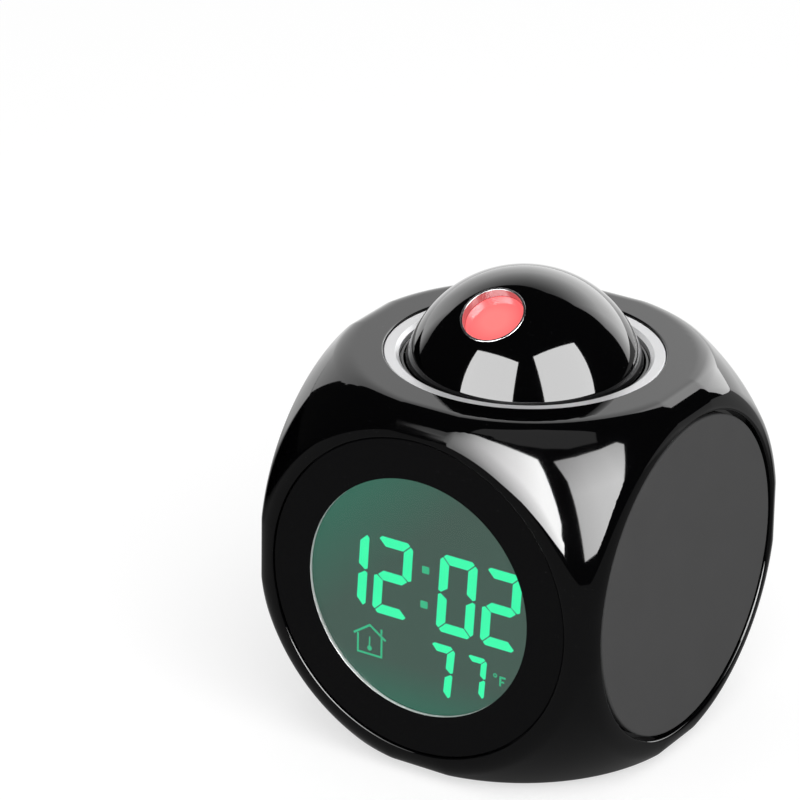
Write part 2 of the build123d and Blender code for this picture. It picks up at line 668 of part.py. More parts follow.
def ball_upper():
    """Upper half of the ball, with the lens opening and two bosses for the barrel."""
    shell = ball(BALL_R) - ball(BALL_IN_R)
    shell = split(shell, Plane((0, 0, BALL_Z)), keep=Keep.TOP)
    half_space = Pos(0, 0, BALL_Z + BALL_R / 2) * Box(2 * BALL_R, 2 * BALL_R, BALL_R)
    shell += pivot_boss() & half_space
    for boss in ball_bosses(RUN, BALL_R):
        shell += boss
    for side in (-1, 1):
        boss = lens_plug(BOSS_R, BARREL_END + BARREL_FLANGE, BALL_R, side * BARREL_SCREW_U)
        shell += boss & ball(BALL_R - BALL_WALL / 2)
    shell -= lens_plug(LENS_R + RIM_WALL + 2 * RUN, BALL_R / 2, BALL_R + 1)
    for side in (-1, 1):
        shell -= lens_plug(PILOT_R, BARREL_END, BARREL_END + SCREW_BITE, side * BARREL_SCREW_U)
        shell -= post(PILOT_R, BALL_Z - 1, BALL_Z + SCREW_BITE - 1,
                      side * BALL_SCREW_U, BALL_SCREW_V)
    tongue_r = BALL_IN_R + RUN
    shell -= post(tongue_r, BALL_Z - 1, BALL_Z + BALL_LIP + RUN) - post(
        PIVOT_IN - PIVOT_SEAT - RUN, BALL_Z - 1, BALL_Z + BALL_LIP + RUN)
    return shell - pivot_bar(PIVOT_R + RUN / 2, BALL_R)


def ball_lower():
    """Lower half of the ball, with a tongue into the upper half and a mouth for the lead."""
    shell = ball(BALL_R) - ball(BALL_IN_R)
    shell = split(shell, Plane((0, 0, BALL_Z)), keep=Keep.BOTTOM)
    tongue = post(BALL_IN_R - RUN, BALL_Z - 2 * BALL_LIP, BALL_Z + BALL_LIP)
    tongue -= post(BALL_IN_R - BALL_TONGUE, BALL_Z - 2 * BALL_LIP, BALL_Z + BALL_LIP)
    tongue &= ball(BALL_R - BALL_WALL / 2)
    clear_x = Pos(0, 0, BALL_Z) * Box(2 * BALL_R, 2 * (PIVOT_BOSS_R + FIT), 4 * BALL_LIP + FIT)
    shell += tongue - clear_x
    half_space = Pos(0, 0, BALL_Z - BALL_R / 2) * Box(2 * BALL_R, 2 * BALL_R, BALL_R)
    shell += pivot_boss() & half_space
    for boss in ball_bosses(-BALL_R, 0):
        shell += boss
    shell -= lens_plug(BALL_MOUTH_R, -BALL_R, -BALL_R / 2)
    for side in (-1, 1):
        x, y = side * BALL_SCREW_U, BALL_SCREW_V
        shell -= post(SCREW_HEAD_R + FIT, BALL_Z - BALL_R, BALL_Z - BALL_SCREW_SINK, x, y)
        shell -= post(SCREW_R + FIT, BALL_Z - BALL_SCREW_SINK - FIT, BALL_Z + 1, x, y)
    return shell - pivot_bar(PIVOT_R + RUN / 2, BALL_R)


def ball_screws():
    made = []
    for side in (-1, 1):
        x, y = side * BALL_SCREW_U, BALL_SCREW_V
        seat = BALL_Z - BALL_SCREW_SINK
        made.append(post(SCREW_HEAD_R, seat - SCREW_HEAD, seat, x, y)
                    + post(PILOT_R - FIT / 2, seat, BALL_Z + SCREW_BITE - 2, x, y))
    return Compound(children=made)


def pivot_pins():
    return pivot_bar(PIVOT_R, SOCKET_R - RUN)


def projector_lens():
    """Front element whose crown follows the ball's own curve."""
    stem = lens_plug(LENS_R, BALL_R - LENS - LENS_INSET, BALL_R)
    return stem & ball(BALL_R - LENS_INSET)


def barrel_top():
    return BALL_R - LENS - LENS_INSET - RUN


def lens_rim():
    """Bright tube around the lens that stands just proud of the ball."""
    outer_r = LENS_R + RIM_WALL + RUN
    crown = sqrt(BALL_R ** 2 - outer_r ** 2) + RIM_PROUD
    return lens_plug(outer_r, barrel_top(), crown) - lens_plug(LENS_R + RUN, 0, BALL_R + 1)


def lens_barrel():
    """Tube behind the lens, on a flange that two screws hold in the upper ball.

    Its rear half has a square pocket, whose step the small cell rests against.
    """
    barrel = lens_plug(BARREL_R, BARREL_END, barrel_top())
    barrel &= ball(BALL_IN_R - RUN)
    flange = on_lens_axis(0, 0, BARREL_END + BARREL_FLANGE / 2) * Box(
        2 * BARREL_SCREW_U, 2 * BOSS_R, BARREL_FLANGE - 2 * RUN)
    barrel += flange
    for side in (-1, 1):
        barrel += lens_plug(BOSS_R, BARREL_END + RUN, BARREL_END + BARREL_FLANGE - RUN,
                            side * BARREL_SCREW_U)
        barrel -= lens_plug(SCREW_R + FIT, 0, BARREL_END + BARREL_FLANGE, side * BARREL_SCREW_U)
    step = FILM_AT + FILM / 2
    pocket = on_lens_axis(0, 0, step / 2) * Box(2 * FILM_HALF, 2 * FILM_HALF, step)
    return barrel - pocket - lens_plug(BARREL_BORE_R, FILM_AT, BALL_R)


def projector_film():
    """Small clear cell that forms the projected time."""
    half = FILM_HALF - RUN
    return on_lens_axis(0, 0, FILM_AT) * Box(2 * half, 2 * half, FILM - 2 * RUN)


def projector_lamp():
    """Round-nosed light source on the small board behind the barrel."""
    base = BARREL_END - 2 * RUN
    stem = lens_plug(LAMP_R, base, base + LAMP - LAMP_R / 2)
    return stem + on_lens_axis(0, 0, base + LAMP - LAMP_R / 2) * Sphere(LAMP_R)


def projector_board():
    top = BARREL_END - 2 * RUN
    board = on_lens_axis(0, 0, top - LAMP_BOARD / 2) * Box(
        2 * (BARREL_SCREW_U + BOSS_R), LAMP_BOARD_WIDTH, LAMP_BOARD)
    for side in (-1, 1):
        board -= lens_plug(SCREW_R + FIT, 0, BARREL_END + 1, side * BARREL_SCREW_U)
    return board


def projector_screws():
    made = []
    seat = BARREL_END - 2 * RUN - LAMP_BOARD
    for side in (-1, 1):
        u = side * BARREL_SCREW_U
        made.append(lens_plug(SCREW_HEAD_R, seat - SCREW_HEAD, seat, u)
                    + lens_plug(PILOT_R - FIT / 2, seat, BARREL_END + SCREW_BITE - 1, u))
    return Compound(children=made)


# ---------------------------------------------------------------- ring and socket
def top_ring():
    """Bright dished ring round the ball, seated in the housing's top face."""
    top = TOP_Z - RING_INSET
    low = TOP_Z - RING_SEAT
    profile = Polyline(
        (RING_BORE_R, low), (RING_R, low), (RING_R, top - RING_EDGE), (RING_R - RING_EDGE, top),
        (RING_R - RING_LIP, top - RING_EDGE / 2), (RING_BORE_R, top - RING_DISH), close=True)
    return revolve(Plane.XZ * make_face(profile), Axis.Z)


def socket_profile():
    """Half section of the socket: ball cup, thin collar, wall and foot."""
    collar_r = RING_BORE_R - COLLAR_GAP
    collar_z = TOP_Z - COLLAR_INSET
    shoulder_z = TOP_Z - COLLAR_SHOULDER
    rise = collar_z - BALL_Z
    lip_r = sqrt(SOCKET_IN_R ** 2 - rise ** 2)
    mid_r = sqrt(SOCKET_IN_R ** 2 - (rise / 2) ** 2)
    foot_z = SOCKET_Z + SOCKET_FOOT
    cup = ThreePointArc((SOCKET_IN_R, BALL_Z), (mid_r, BALL_Z + rise / 2), (lip_r, collar_z))
    rest = Polyline(
        (lip_r, collar_z), (collar_r, collar_z), (collar_r, shoulder_z), (SOCKET_R, shoulder_z),
        (SOCKET_R, foot_z), (SOCKET_FOOT_R, foot_z), (SOCKET_FOOT_R, SOCKET_Z),
        (SOCKET_IN_R, SOCKET_Z), (SOCKET_IN_R, BALL_Z))
    return make_face(cup + rest)


def ball_socket():
    """Turning socket that holds the ball by its two pivots."""
    socket = revolve(Plane.XZ * socket_profile(), Axis.Z)
    return socket - Pos(0, 0, BALL_Z) * Rot(0, 90, 0) * Cylinder(PIVOT_R + RUN, 2 * SOCKET_R + 2)


def turntable_washer():
    return post(SOCKET_FOOT_R, CARRIER_FLOOR_Z, SOCKET_Z) - post(
        SOCKET_IN_R, CARRIER_FLOOR_Z - 1, SOCKET_Z + 1)


def press_carrier():
    """Sliding cup under the socket, guided by four ears, with a nib over the snooze switch."""
    cup = post(CARRIER_R, CARRIER_Z, CARRIER_TOP_Z - RUN)
    cup -= post(CARRIER_IN_R, CARRIER_FLOOR_Z, CARRIER_TOP_Z + 1)
    cup -= post(CARRIER_BORE_R, CARRIER_Z - 1, CARRIER_TOP_Z)
    reach = sqrt(2) * GUIDE_POST_AT
    for su, sv in FOUR_WAYS:
        x, y = su * GUIDE_POST_AT, sv * GUIDE_POST_AT
        angle = 45 if su * sv > 0 else -45
        arm_r = (CARRIER_IN_R + CARRIER_WALL / 2 + reach) / 2
        arm = Pos(su * arm_r / sqrt(2), sv * arm_r / sqrt(2), EAR_Z + EAR / 2) * Rot(0, 0, angle)
        cup += arm * Box(reach - CARRIER_IN_R, 2 * EAR_R, EAR)
        cup += post(EAR_R, EAR_Z, EAR_Z + EAR, x, y)
        cup -= post(GUIDE_POST_R + GUIDE_GAP, EAR_Z - 1, EAR_Z + EAR + 1, x, y)
    catch_z = SOCKET_Z + SOCKET_FOOT + FIT
    for angle in (0, 90, 180, 270):
        catch = Rot(0, 0, angle) * Pos(CARRIER_IN_R, 0, catch_z + CATCH / 2) * Box(
            2 * CATCH, 4 * CATCH, CATCH)
        cup += catch
    nib_y = snooze_plunger_y()
    nib_bottom = snooze_plunger_z() + PRESS_TRAVEL + RUN
    nib_end = nib_y + PLUNGER_R
    return cup + Pos(0, (CARRIER_BORE_R + nib_end) / 2, (nib_bottom + CARRIER_FLOOR_Z) / 2) * Box(
        NIB_WIDTH, nib_end - CARRIER_BORE_R, CARRIER_FLOOR_Z - nib_bottom)


def carrier_screws():
    """Washer-headed screws in the ends of the guide posts, under the springs."""
    made = []
    for su, sv in FOUR_WAYS:
        x, y = su * GUIDE_POST_AT, sv * GUIDE_POST_AT
        head = post(EAR_R, GUIDE_POST_Z - SCREW_HEAD, GUIDE_POST_Z, x, y)
        made.append(head + post(PILOT_R - FIT, GUIDE_POST_Z, GUIDE_POST_Z + SCREW_BITE - 1, x, y))
    return Compound(children=made)


def carrier_springs():
    spring = coil(SPRING_R, SPRING_WIRE_R, SPRING_LENGTH - 4 * FIT, SPRING_TURNS)
    return Compound(children=[
        Pos(su * GUIDE_POST_AT, sv * GUIDE_POST_AT, GUIDE_POST_Z + 2 * FIT) * spring
        for su, sv in FOUR_WAYS])


# ---------------------------------------------------------------- rear panel
def button_spots():
    middle = (len(BUTTONS) - 1) / 2
    return [((i - middle) * BUTTON_PITCH, BUTTON_V) for i in range(len(BUTTONS))]


def key_screw_spots():
    spots = []
    for u, v in (KEY_SCREW_LOW, KEY_SCREW_HIGH):
        spots += [(-u, v), (u, v)]
    return spots


def grille_spots():
    spots = [(0.0, SPEAKER_V)]
    for ring in range(1, GRILLE_RINGS + 1):
        for i in range(6 * ring):
            angle = radians(60 * i / ring)
            spots.append((ring * GRILLE_PITCH * cos(angle),
                          SPEAKER_V + ring * GRILLE_PITCH * sin(angle)))
    return spots


def rear_panel():
    """Round control panel: button holes, switch slot, vents, speaker holes and hooks."""
    panel = plug("rear", PANEL_R, PANEL_DEPTH, REAR_SEAT)
    panel = fillet(panel.edges().group_by(Axis.Y)[-1], PANEL_ROUND)
    cup_end = REAR_SEAT + SEAT_FLOOR + FIT
    panel += tube("rear", SPEAKER_R + FIT + SPEAKER_CUP, SPEAKER_R + FIT,
                  REAR_SEAT, cup_end, v=SPEAKER_V)
    for u, v in key_screw_spots():
        panel += plug("rear", BOSS_R - 3 * FIT, REAR_SEAT, KEY_BOARD_DEPTH - RUN, u, v)
    hook_end = cup_end + HOOK_BARB
    for angle in (0, 180, 240, 300):
        turn = FACES["rear"].location * Rot(0, 0, angle)
        arm_at = HALF - (REAR_SEAT + hook_end) / 2
        panel += turn * Pos(HOOK_R - HOOK_WALL / 2, 0, arm_at) * Box(
            HOOK_WALL, HOOK_WIDTH, hook_end - REAR_SEAT)
        barb_at = HALF - (cup_end + hook_end) / 2
        panel += turn * Pos(HOOK_R + HOOK_BARB / 2, 0, barb_at) * Box(
            HOOK_BARB, HOOK_WIDTH, HOOK_BARB)
    cuts = [plug("rear", BUTTON_R + FIT, 0, REAR_SEAT + FIT, u, v) for u, v in button_spots()]
    cuts += [plug("rear", GRILLE_HOLE_R, 0, REAR_SEAT + FIT, u, v) for u, v in grille_spots()]
    cuts += [plug("rear", PILOT_R, REAR_SEAT, KEY_BOARD_DEPTH, u, v) for u, v in key_screw_spots()]
    cuts.append(slab("rear", SLIDER_WIDTH + SLIDER_TRAVEL + 2 * FIT, SLIDER_HEIGHT + 2 * FIT,
                     0, REAR_SEAT + FIT, v=SLIDER_V))
    for i in (-1, 0, 1):
        cuts.append(slab("rear", VENT_WIDTH, VENT_HEIGHT, 0, REAR_SEAT + FIT,
                         v=VENT_V + i * VENT_PITCH))
    return panel - cuts


def button(u, v):
    """Round push button with a flange behind the panel."""
    cap = plug("rear", BUTTON_R, PANEL_DEPTH - BUTTON_PROUD, BUTTON_BACK, u, v)
    cap = fillet(cap.edges().group_by(Axis.Y)[-1], BUTTON_PROUD / 2)
    return cap + plug("rear", BUTTON_R + BUTTON_FLANGE, REAR_SEAT + FIT, BUTTON_BACK, u, v)


def slider_knob():
    """Knob of the projection switch, at the end of its travel where the beam is on."""
    u = SLIDER_TRAVEL / 2
    top = PANEL_DEPTH - SLIDER_PROUD
    back = REAR_SEAT + FIT
    over_u, over_v = SLIDER_SHIELD_OVER
    knob = slab("rear", SLIDER_WIDTH, SLIDER_HEIGHT, top, back, u, SLIDER_V)
    knob += slab("rear", SLIDER_WIDTH + 2 * over_u, SLIDER_HEIGHT + 2 * over_v,
                 back, back + SLIDER_SHIELD, u, SLIDER_V)
    knob += slab("rear", SLIDER_STEM, SLIDER_STEM, back, back + SLIDER_STEM_LENGTH, u, SLIDER_V)
    width, depth = SLIDER_GROOVE
    for i in (-1, 0, 1):
        knob -= slab("rear", width, SLIDER_HEIGHT, top, top + depth, u + i, SLIDER_V)
    return knob


def slide_switch():
    """Body of the projection switch on the key board, slotted for the knob's stem."""
    front = REAR_SEAT + FIT + SLIDER_SHIELD + FIT
    slot = SLIDER_TRAVEL + SLIDER_STEM + 4 * FIT
    body = slab("rear", slot + 2 * SLIDE_SWITCH_END, SLIDE_SWITCH_HEIGHT,
                front, KEY_BOARD_DEPTH, v=SLIDER_V)
    return body - slab("rear", slot, SLIDER_STEM + 4 * FIT, front,
                       REAR_SEAT + SLIDER_STEM_LENGTH + 2 * FIT, v=SLIDER_V)


def key_board():
    """Small board behind the panel, cut to pass through the rear opening."""
    height = KEY_BOARD_HIGH - KEY_BOARD_LOW
    board = plug("rear", KEY_BOARD_R, KEY_BOARD_DEPTH, KEY_BOARD_BACK)
    board &= slab("rear", 2 * KEY_BOARD_R, height, KEY_BOARD_DEPTH, KEY_BOARD_BACK,
                  v=(KEY_BOARD_LOW + KEY_BOARD_HIGH) / 2)
    return board - [plug("rear", SCREW_R + FIT, 0, HALF, u, v) for u, v in key_screw_spots()]


def key_board_screws():
    made = []
    for u, v in key_screw_spots():
        head = plug("rear", SCREW_HEAD_R, KEY_BOARD_BACK, KEY_BOARD_BACK + SCREW_HEAD, u, v)
        shank = plug("rear", PILOT_R - FIT / 2, REAR_SEAT + FIT, KEY_BOARD_BACK, u, v)
        made.append(head + shank)
    return Compound(children=made)


def key_switches():
    """Four square press switches, one under each button."""
    made = []
    for u, v in button_spots():
        body = slab("rear", 2 * SWITCH_HALF, 2 * SWITCH_HALF, SWITCH_TOP, KEY_BOARD_DEPTH, u, v)
        made.append(body + plug("rear", PLUNGER_R, SWITCH_TOP - SWITCH_PLUNGER, SWITCH_TOP, u, v))
    return Compound(children=made)


def snooze_plunger_y():
    return HALF - KEY_BOARD_BACK - SNOOZE_SWITCH[2] / 2


def snooze_plunger_z():
    """Top of the snooze switch's plunger, reached by the carrier at full travel."""
    return CARRIER_Z - PRESS_TRAVEL - SNOOZE_SPARE


def snooze_switch():
    """Press switch that lies on the key board and faces up to the carrier."""
    width, height, depth = SNOOZE_SWITCH
    top = snooze_plunger_z() - SNOOZE_PLUNGER
    y = snooze_plunger_y()
    body = Pos(0, y, top - height / 2) * Box(width, depth, height)
    return body + post(PLUNGER_R, top, snooze_plunger_z(), 0, y)


def temperature_sensor():
    """Bead thermistor on two legs, behind the vents."""
    bead_depth = KEY_BOARD_DEPTH - SENSOR_LEG
    bead = at_face("rear", 0, VENT_V, bead_depth) * Sphere(SENSOR_R)
    for side in (-1, 1):
        bead += plug("rear", SENSOR_LEG_R, bead_depth, KEY_BOARD_DEPTH,
                     side * SENSOR_R / 2, VENT_V)
    return bead


def speaker_revolve(points):
    """Solid of revolution about the speaker's axis, from (radius, depth) points."""
    outline = Polyline(*[(radius, -depth) for radius, depth in points], close=True)
    turned = revolve(Plane.XZ * make_face(outline), Axis.Z)
    return at_face("rear", 0, SPEAKER_V) * turned


def speaker_basket():
    """Pressed steel frame: flat flange, short step and a cone down to the magnet."""
    front = REAR_SEAT + FIT
    back = front + SPEAKER_DEPTH / 2
    inner_r = SPEAKER_R - SPEAKER_FLANGE
    return speaker_revolve([
        (inner_r, front), (SPEAKER_R, front), (SPEAKER_R, front + SPEAKER_SHEET),
        (inner_r + SPEAKER_SHEET, front + SPEAKER_SHEET),
        (inner_r + SPEAKER_SHEET, front + 2 * SPEAKER_SHEET), (MAGNET_R + SPEAKER_SHEET, back),
        (VOICE_R, back), (VOICE_R, back - SPEAKER_SHEET), (MAGNET_R, back - SPEAKER_SHEET),
        (inner_r, front + SPEAKER_SHEET)])


def speaker_cone():
    """Paper cone with a domed cap, glued at its edge inside the basket's flange."""
    front = REAR_SEAT + FIT
    edge = SPEAKER_R - SPEAKER_FLANGE - FIT
    cap = front + CONE_DROP / 2
    return speaker_revolve([
        (0, cap), (VOICE_R, front + CONE_DROP), (edge, front + FIT),
        (edge, front + FIT + CONE_PAPER), (VOICE_R, front + CONE_DROP + CONE_PAPER),
        (0, cap + CONE_PAPER)])


def speaker_magnet():
    back = REAR_SEAT + FIT + SPEAKER_DEPTH / 2
    return plug("rear", MAGNET_R, back, REAR_SEAT + SPEAKER_DEPTH, v=SPEAKER_V)


# ---------------------------------------------------------------- base
def base_spots(place):
    return [(su * place[0], sv * place[1]) for su, sv in FOUR_WAYS]


def hinge_bar(x, radius, length):
    return Pos(x, HINGE_Y, HINGE_Z) * Rot(0, 90, 0) * Cylinder(radius, length)


def base_cover():
    """Bottom disc with the battery tub moulded into it."""
    cover = plug("bottom", BASE_R, BASE_INSET, BASE_SEAT)
    cover = chamfer(cover.edges().group_by(Axis.Z)[0], BASE_INSET)
    cover += slab("bottom", TUB_WIDTH + 2 * TUB_WALL, TUB_LENGTH + 2 * TUB_WALL,
                  DOOR_INNER, TUB_ROOF + TUB_WALL)
    cuts = [
        slab("bottom", TUB_WIDTH, TUB_LENGTH, 0, TUB_ROOF),
        slab("bottom", 2 * DOOR_U, 2 * DOOR_V, 0, DOOR_INNER),
        plug("bottom", SCOOP_R, 0, BASE_INSET + SCOOP, v=-DOOR_V),
    ]
    for u, v in base_spots(FOOT_AT):
        cuts.append(plug("bottom", FOOT_R + FIT, 0, BASE_INSET + FOOT_SINK, u, v))
    for u, v in base_spots(BASE_SCREW_AT):
        cuts.append(plug("bottom", SCREW_HEAD_R + FIT, 0, BASE_INSET + BASE_SCREW_SINK, u, v))
        cuts.append(plug("bottom", SCREW_R + FIT, 0, BASE_SEAT + FIT, u, v))
    for side in (-1, 1):
        x = side * HINGE_U
        slot_end = HINGE_Y - HINGE_R - 2 * FIT
        slot_top = HINGE_Z + HINGE_R + FIT
        cuts.append(Pos(x, (slot_end - DOOR_V) / 2 + FIT, slot_top / 2) * Box(
            HINGE_ARM + 4 * FIT, -slot_end - DOOR_V + 2 * FIT, slot_top))
        cuts.append(hinge_bar(x, HINGE_R + RUN, HINGE_PIN + 2 * FIT))
    return cover - cuts


def battery_door():
    """Hinged lid under the cells, with a springy latch tongue at its free edge."""
    width = 2 * (DOOR_U - DOOR_GAP)
    length = 2 * (DOOR_V - DOOR_GAP)
    door = slab("bottom", width, length, BASE_INSET, DOOR_INNER - RUN)
    tongue_v = -length / 2 + LATCH_LENGTH / 2
    for side in (-1, 1):
        door -= slab("bottom", LATCH_SLIT, LATCH_LENGTH + FIT, 0, DOOR_INNER,
                     side * LATCH_HALF, tongue_v - FIT)
        x = side * HINGE_U
        arm_end = HINGE_ARM_ROOT - length / 2
        door += Pos(x, (HINGE_Y + arm_end) / 2, HINGE_Z) * Box(
            HINGE_ARM, arm_end - HINGE_Y, 2 * HINGE_R)
        door += hinge_bar(x, HINGE_R, HINGE_PIN)
    width, height, depth = LATCH_GROOVE
    for i in (-1, 0, 1):
        door -= slab("bottom", width, height, 0, BASE_INSET + depth,
                     v=tongue_v + LATCH_GROOVE_PITCH * i)
    return door


def cell_columns():
    """Place and direction of each cell: neighbours point opposite ways."""
    middle = (CELL_COUNT - 1) / 2
    return [((i - middle) * CELL_PITCH, 1 if i % 2 == 0 else -1) for i in range(CELL_COUNT)]


def cell_z():
    return FOOT_PROUD + CELL_DEPTH


def battery_cells():
    made = []
    for x, way in cell_columns():
        nub_tip = TUB_LENGTH / 2 - CONTACT - RUN
        middle = way * (nub_tip - CELL_NUB - CELL / 2)
        cell = Pos(x, middle, cell_z()) * Rot(90, 0, 0) * Cylinder(CELL_R, CELL)
        nub = Pos(x, way * (nub_tip - CELL_NUB / 2), cell_z()) * Rot(90, 0, 0) * Cylinder(
            CELL_NUB_R, CELL_NUB)
        made.append(cell + nub)
    return Compound(children=made)


def battery_contacts():
    made = []
    for x, _ in cell_columns():
        for side in (-1, 1):
            made.append(Pos(x, side * (TUB_LENGTH - CONTACT) / 2, cell_z()) * Box(
                CONTACT_WIDTH, CONTACT, CONTACT_WIDTH))
    return Compound(children=made)


def battery_springs():
    made = []
    for x, way in cell_columns():
        spring = coil(SPRING_R, SPRING_WIRE_R, CELL_SPRING, SPRING_TURNS - 1)
        start = -way * (TUB_LENGTH / 2 - CONTACT)
        made.append(Pos(x, start, cell_z()) * Rot(-90 * way, 0, 0) * spring)
    return Compound(children=made)


def rubber_feet():
    made = []
    for u, v in base_spots(FOOT_AT):
        foot = plug("bottom", FOOT_R, -FOOT_PROUD, BASE_INSET + FOOT_SINK, u, v)
        made.append(fillet(foot.edges().group_by(Axis.Z)[0], FOOT_PROUD / 2))
    return Compound(children=made)


def base_screws():
    return screws("bottom", base_spots(BASE_SCREW_AT), BASE_INSET + BASE_SCREW_SINK,
                  BASE_SEAT - BASE_INSET - BASE_SCREW_SINK + SCREW_BITE / 2)


# ---------------------------------------------------------------- all pieces
def all_pieces():
    front_shell, rear_shell = shells()
    pieces = {
        "front_shell": front_shell,
        "rear_shell": rear_shell,
        "housing_screws": housing_screws(),
        "side_disc_left": side_disc("left"),
        "side_disc_right": side_disc("right"),
        "front_bezel": front_bezel(),
        "display_trim": display_trim(),
        "display_window": display_window(),
        "lcd_panel": lcd_panel(),
        "lcd_frame": lcd_frame(),
        "light_guide": light_guide(),
        "backlight_lamps": backlight_lamps(),
        "lcd_connector": lcd_connector(),
        "main_board": main_board(),
        "board_screws": board_screws(),
        "board_parts": board_parts(),
        "ball_upper": ball_upper(),
        "ball_lower": ball_lower(),
        "ball_screws": ball_screws(),
        "pivot_pins": pivot_pins(),
        "projector_lens": projector_lens(),
        "lens_rim": lens_rim(),
        "lens_barrel": lens_barrel(),
        "projector_film": projector_film(),
        "projector_lamp": projector_lamp(),
        "projector_board": projector_board(),
        "projector_screws": projector_screws(),
        "top_ring": top_ring(),
        "ball_socket": ball_socket(),
        "turntable_washer": turntable_washer(),
        "press_carrier": press_carrier(),
        "carrier_screws": carrier_screws(),
        "carrier_springs": carrier_springs(),
        "rear_panel": rear_panel(),
        "projection_switch_knob": slider_knob(),
        "projection_switch": slide_switch(),
        "key_board": key_board(),
        "key_board_screws": key_board_screws(),
        "key_switches": key_switches(),
        "snooze_switch": snooze_switch(),
        "temperature_sensor": temperature_sensor(),
        "speaker_basket": speaker_basket(),
        "speaker_cone": speaker_cone(),
        "speaker_magnet": speaker_magnet(),
        "base_cover": base_cover(),
        "base_screws": base_screws(),
        "battery_door": battery_door(),
        "battery_cells": battery_cells(),
        "battery_contacts": battery_contacts(),
        "battery_springs": battery_springs(),
        "rubber_feet": rubber_feet(),
    }
    for name, (u, v) in zip(BUTTONS, button_spots()):
        pieces[name] = button(u, v)
    return pieces


os.makedirs("parts", exist_ok=True)
for name, shape in all_pieces().items():
    export_step(shape, "parts/" + name + ".step")
    print(name, round(shape.volume, 1))
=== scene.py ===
# %% [markdown]
# # A projection alarm clock
# A cube of gloss black plastic with soft edges holds one round assembly in each face: the
# lit display in front, a plain dark disc on each side, a control panel at the back, the
# battery base below, and on top a black ball that turns and tilts in a satin ring.
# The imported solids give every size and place. They are loaded first, as a fixed frame.

# %% Load the frame
import json
import math

import bpy
import numpy as np
from mathutils import Matrix, Vector

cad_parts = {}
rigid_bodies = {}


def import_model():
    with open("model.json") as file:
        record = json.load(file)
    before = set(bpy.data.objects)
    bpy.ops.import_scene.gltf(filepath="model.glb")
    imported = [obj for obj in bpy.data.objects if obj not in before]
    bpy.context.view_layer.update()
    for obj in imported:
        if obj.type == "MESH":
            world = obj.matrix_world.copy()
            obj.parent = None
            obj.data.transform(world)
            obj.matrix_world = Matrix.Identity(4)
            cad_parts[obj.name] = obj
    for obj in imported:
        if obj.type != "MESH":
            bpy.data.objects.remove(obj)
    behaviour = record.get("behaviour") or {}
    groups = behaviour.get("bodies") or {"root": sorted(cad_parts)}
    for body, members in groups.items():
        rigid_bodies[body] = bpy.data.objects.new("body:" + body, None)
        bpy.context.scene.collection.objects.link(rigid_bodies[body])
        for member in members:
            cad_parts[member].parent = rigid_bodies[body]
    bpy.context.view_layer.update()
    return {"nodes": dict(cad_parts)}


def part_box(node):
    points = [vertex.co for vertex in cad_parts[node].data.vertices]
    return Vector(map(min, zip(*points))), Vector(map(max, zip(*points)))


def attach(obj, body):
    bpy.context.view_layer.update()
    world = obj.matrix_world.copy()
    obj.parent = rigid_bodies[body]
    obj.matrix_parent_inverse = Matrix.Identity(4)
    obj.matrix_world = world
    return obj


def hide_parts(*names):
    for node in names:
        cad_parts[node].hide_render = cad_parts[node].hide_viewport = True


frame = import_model()
nodes = frame["nodes"]

# %% [markdown]
# ## Sizes
# Sizes are real ones, in millimetres. What the frame already knows is read from the boxes
# of its nodes, so the new surfaces meet the solids that stay.

# %% Sizes from the frame
MM = 0.001


def span(name, axis):
    """Where a solid begins and ends along an axis, in millimetres."""
    low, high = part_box(name)
    return low[axis] / MM, high[axis] / MM


def half_width(name, axis=0):
    """Half of a solid's width; for a round piece, its radius."""
    low, high = span(name, axis)
    return (high - low) / 2


HALF = half_width("rear_shell")
MIDDLE = np.array([0.0, 0.0, sum(span("rear_shell", 2)) / 2])
TOP = MIDDLE[2] + HALF
DISC_R, BEZEL_R = half_width("side_disc_right", 1), half_width("front_bezel")
TRIM_R = half_width("display_trim")
WINDOW_GAP = 0.05
APERTURE_R = half_width("display_window") + WINDOW_GAP
BALL_R, RING_R = half_width("ball_upper"), half_width("top_ring")
BALL_MIDDLE = np.array([0.0, 0.0, span("ball_upper", 2)[1] - BALL_R])
print("half width, ball and ring radius:", [round(size, 2) for size in (HALF, BALL_R, RING_R)])

# %% [markdown]
# ## The view
# A long lens from a metre away flattens the cube, as in a catalogue picture. The camera
# stands up and to the right, so the display, the right disc and the top all show.

# %% Camera
scene = bpy.context.scene
CAMERA_AT = (491.008, -821.639, 501.130)
CAMERA_RIGHT = (0.841227, 0.540507, 0.013724)
CAMERA_UP = (-0.232936, 0.339394, 0.911346)
LENS_MM = 232.26


def turned(right, up):
    """Rotation whose X, Y and Z columns are right, up and the direction behind."""
    right = Vector(right).normalized()
    behind = right.cross(Vector(up)).normalized()
    return Matrix((right, behind.cross(right), behind)).transposed().to_4x4()


def new_object(name, data):
    """Object with its data, in the scene."""
    made = bpy.data.objects.new(name, data)
    scene.collection.objects.link(made)
    return made


camera_data = bpy.data.cameras.new("camera")
camera_data.lens = LENS_MM
camera_data.sensor_width = 36.0
camera_data.clip_start = 0.01
camera = new_object("camera", camera_data)
camera.matrix_world = Matrix.Translation(Vector(CAMERA_AT) * MM) @ turned(CAMERA_RIGHT, CAMERA_UP)
scene.camera = camera
scene.view_settings.view_transform = "Standard"
print("camera lens", camera_data.lens, "mm")

# %% [markdown]
# ## Shader helpers
# The studio and the finishes are both built from shader nodes. A few helpers keep that
# short: they add a node, join two sockets, do sums, and measure along a direction.

# %% Shader helpers


def link(tree, start, end):
    """Joins two sockets."""
    tree.links.new(end, start)


def add(tree, kind, **settings):
    """New shader node with its properties set."""
    node = tree.nodes.new(kind)
    for name, value in settings.items():
        setattr(node, name, value)
    return node


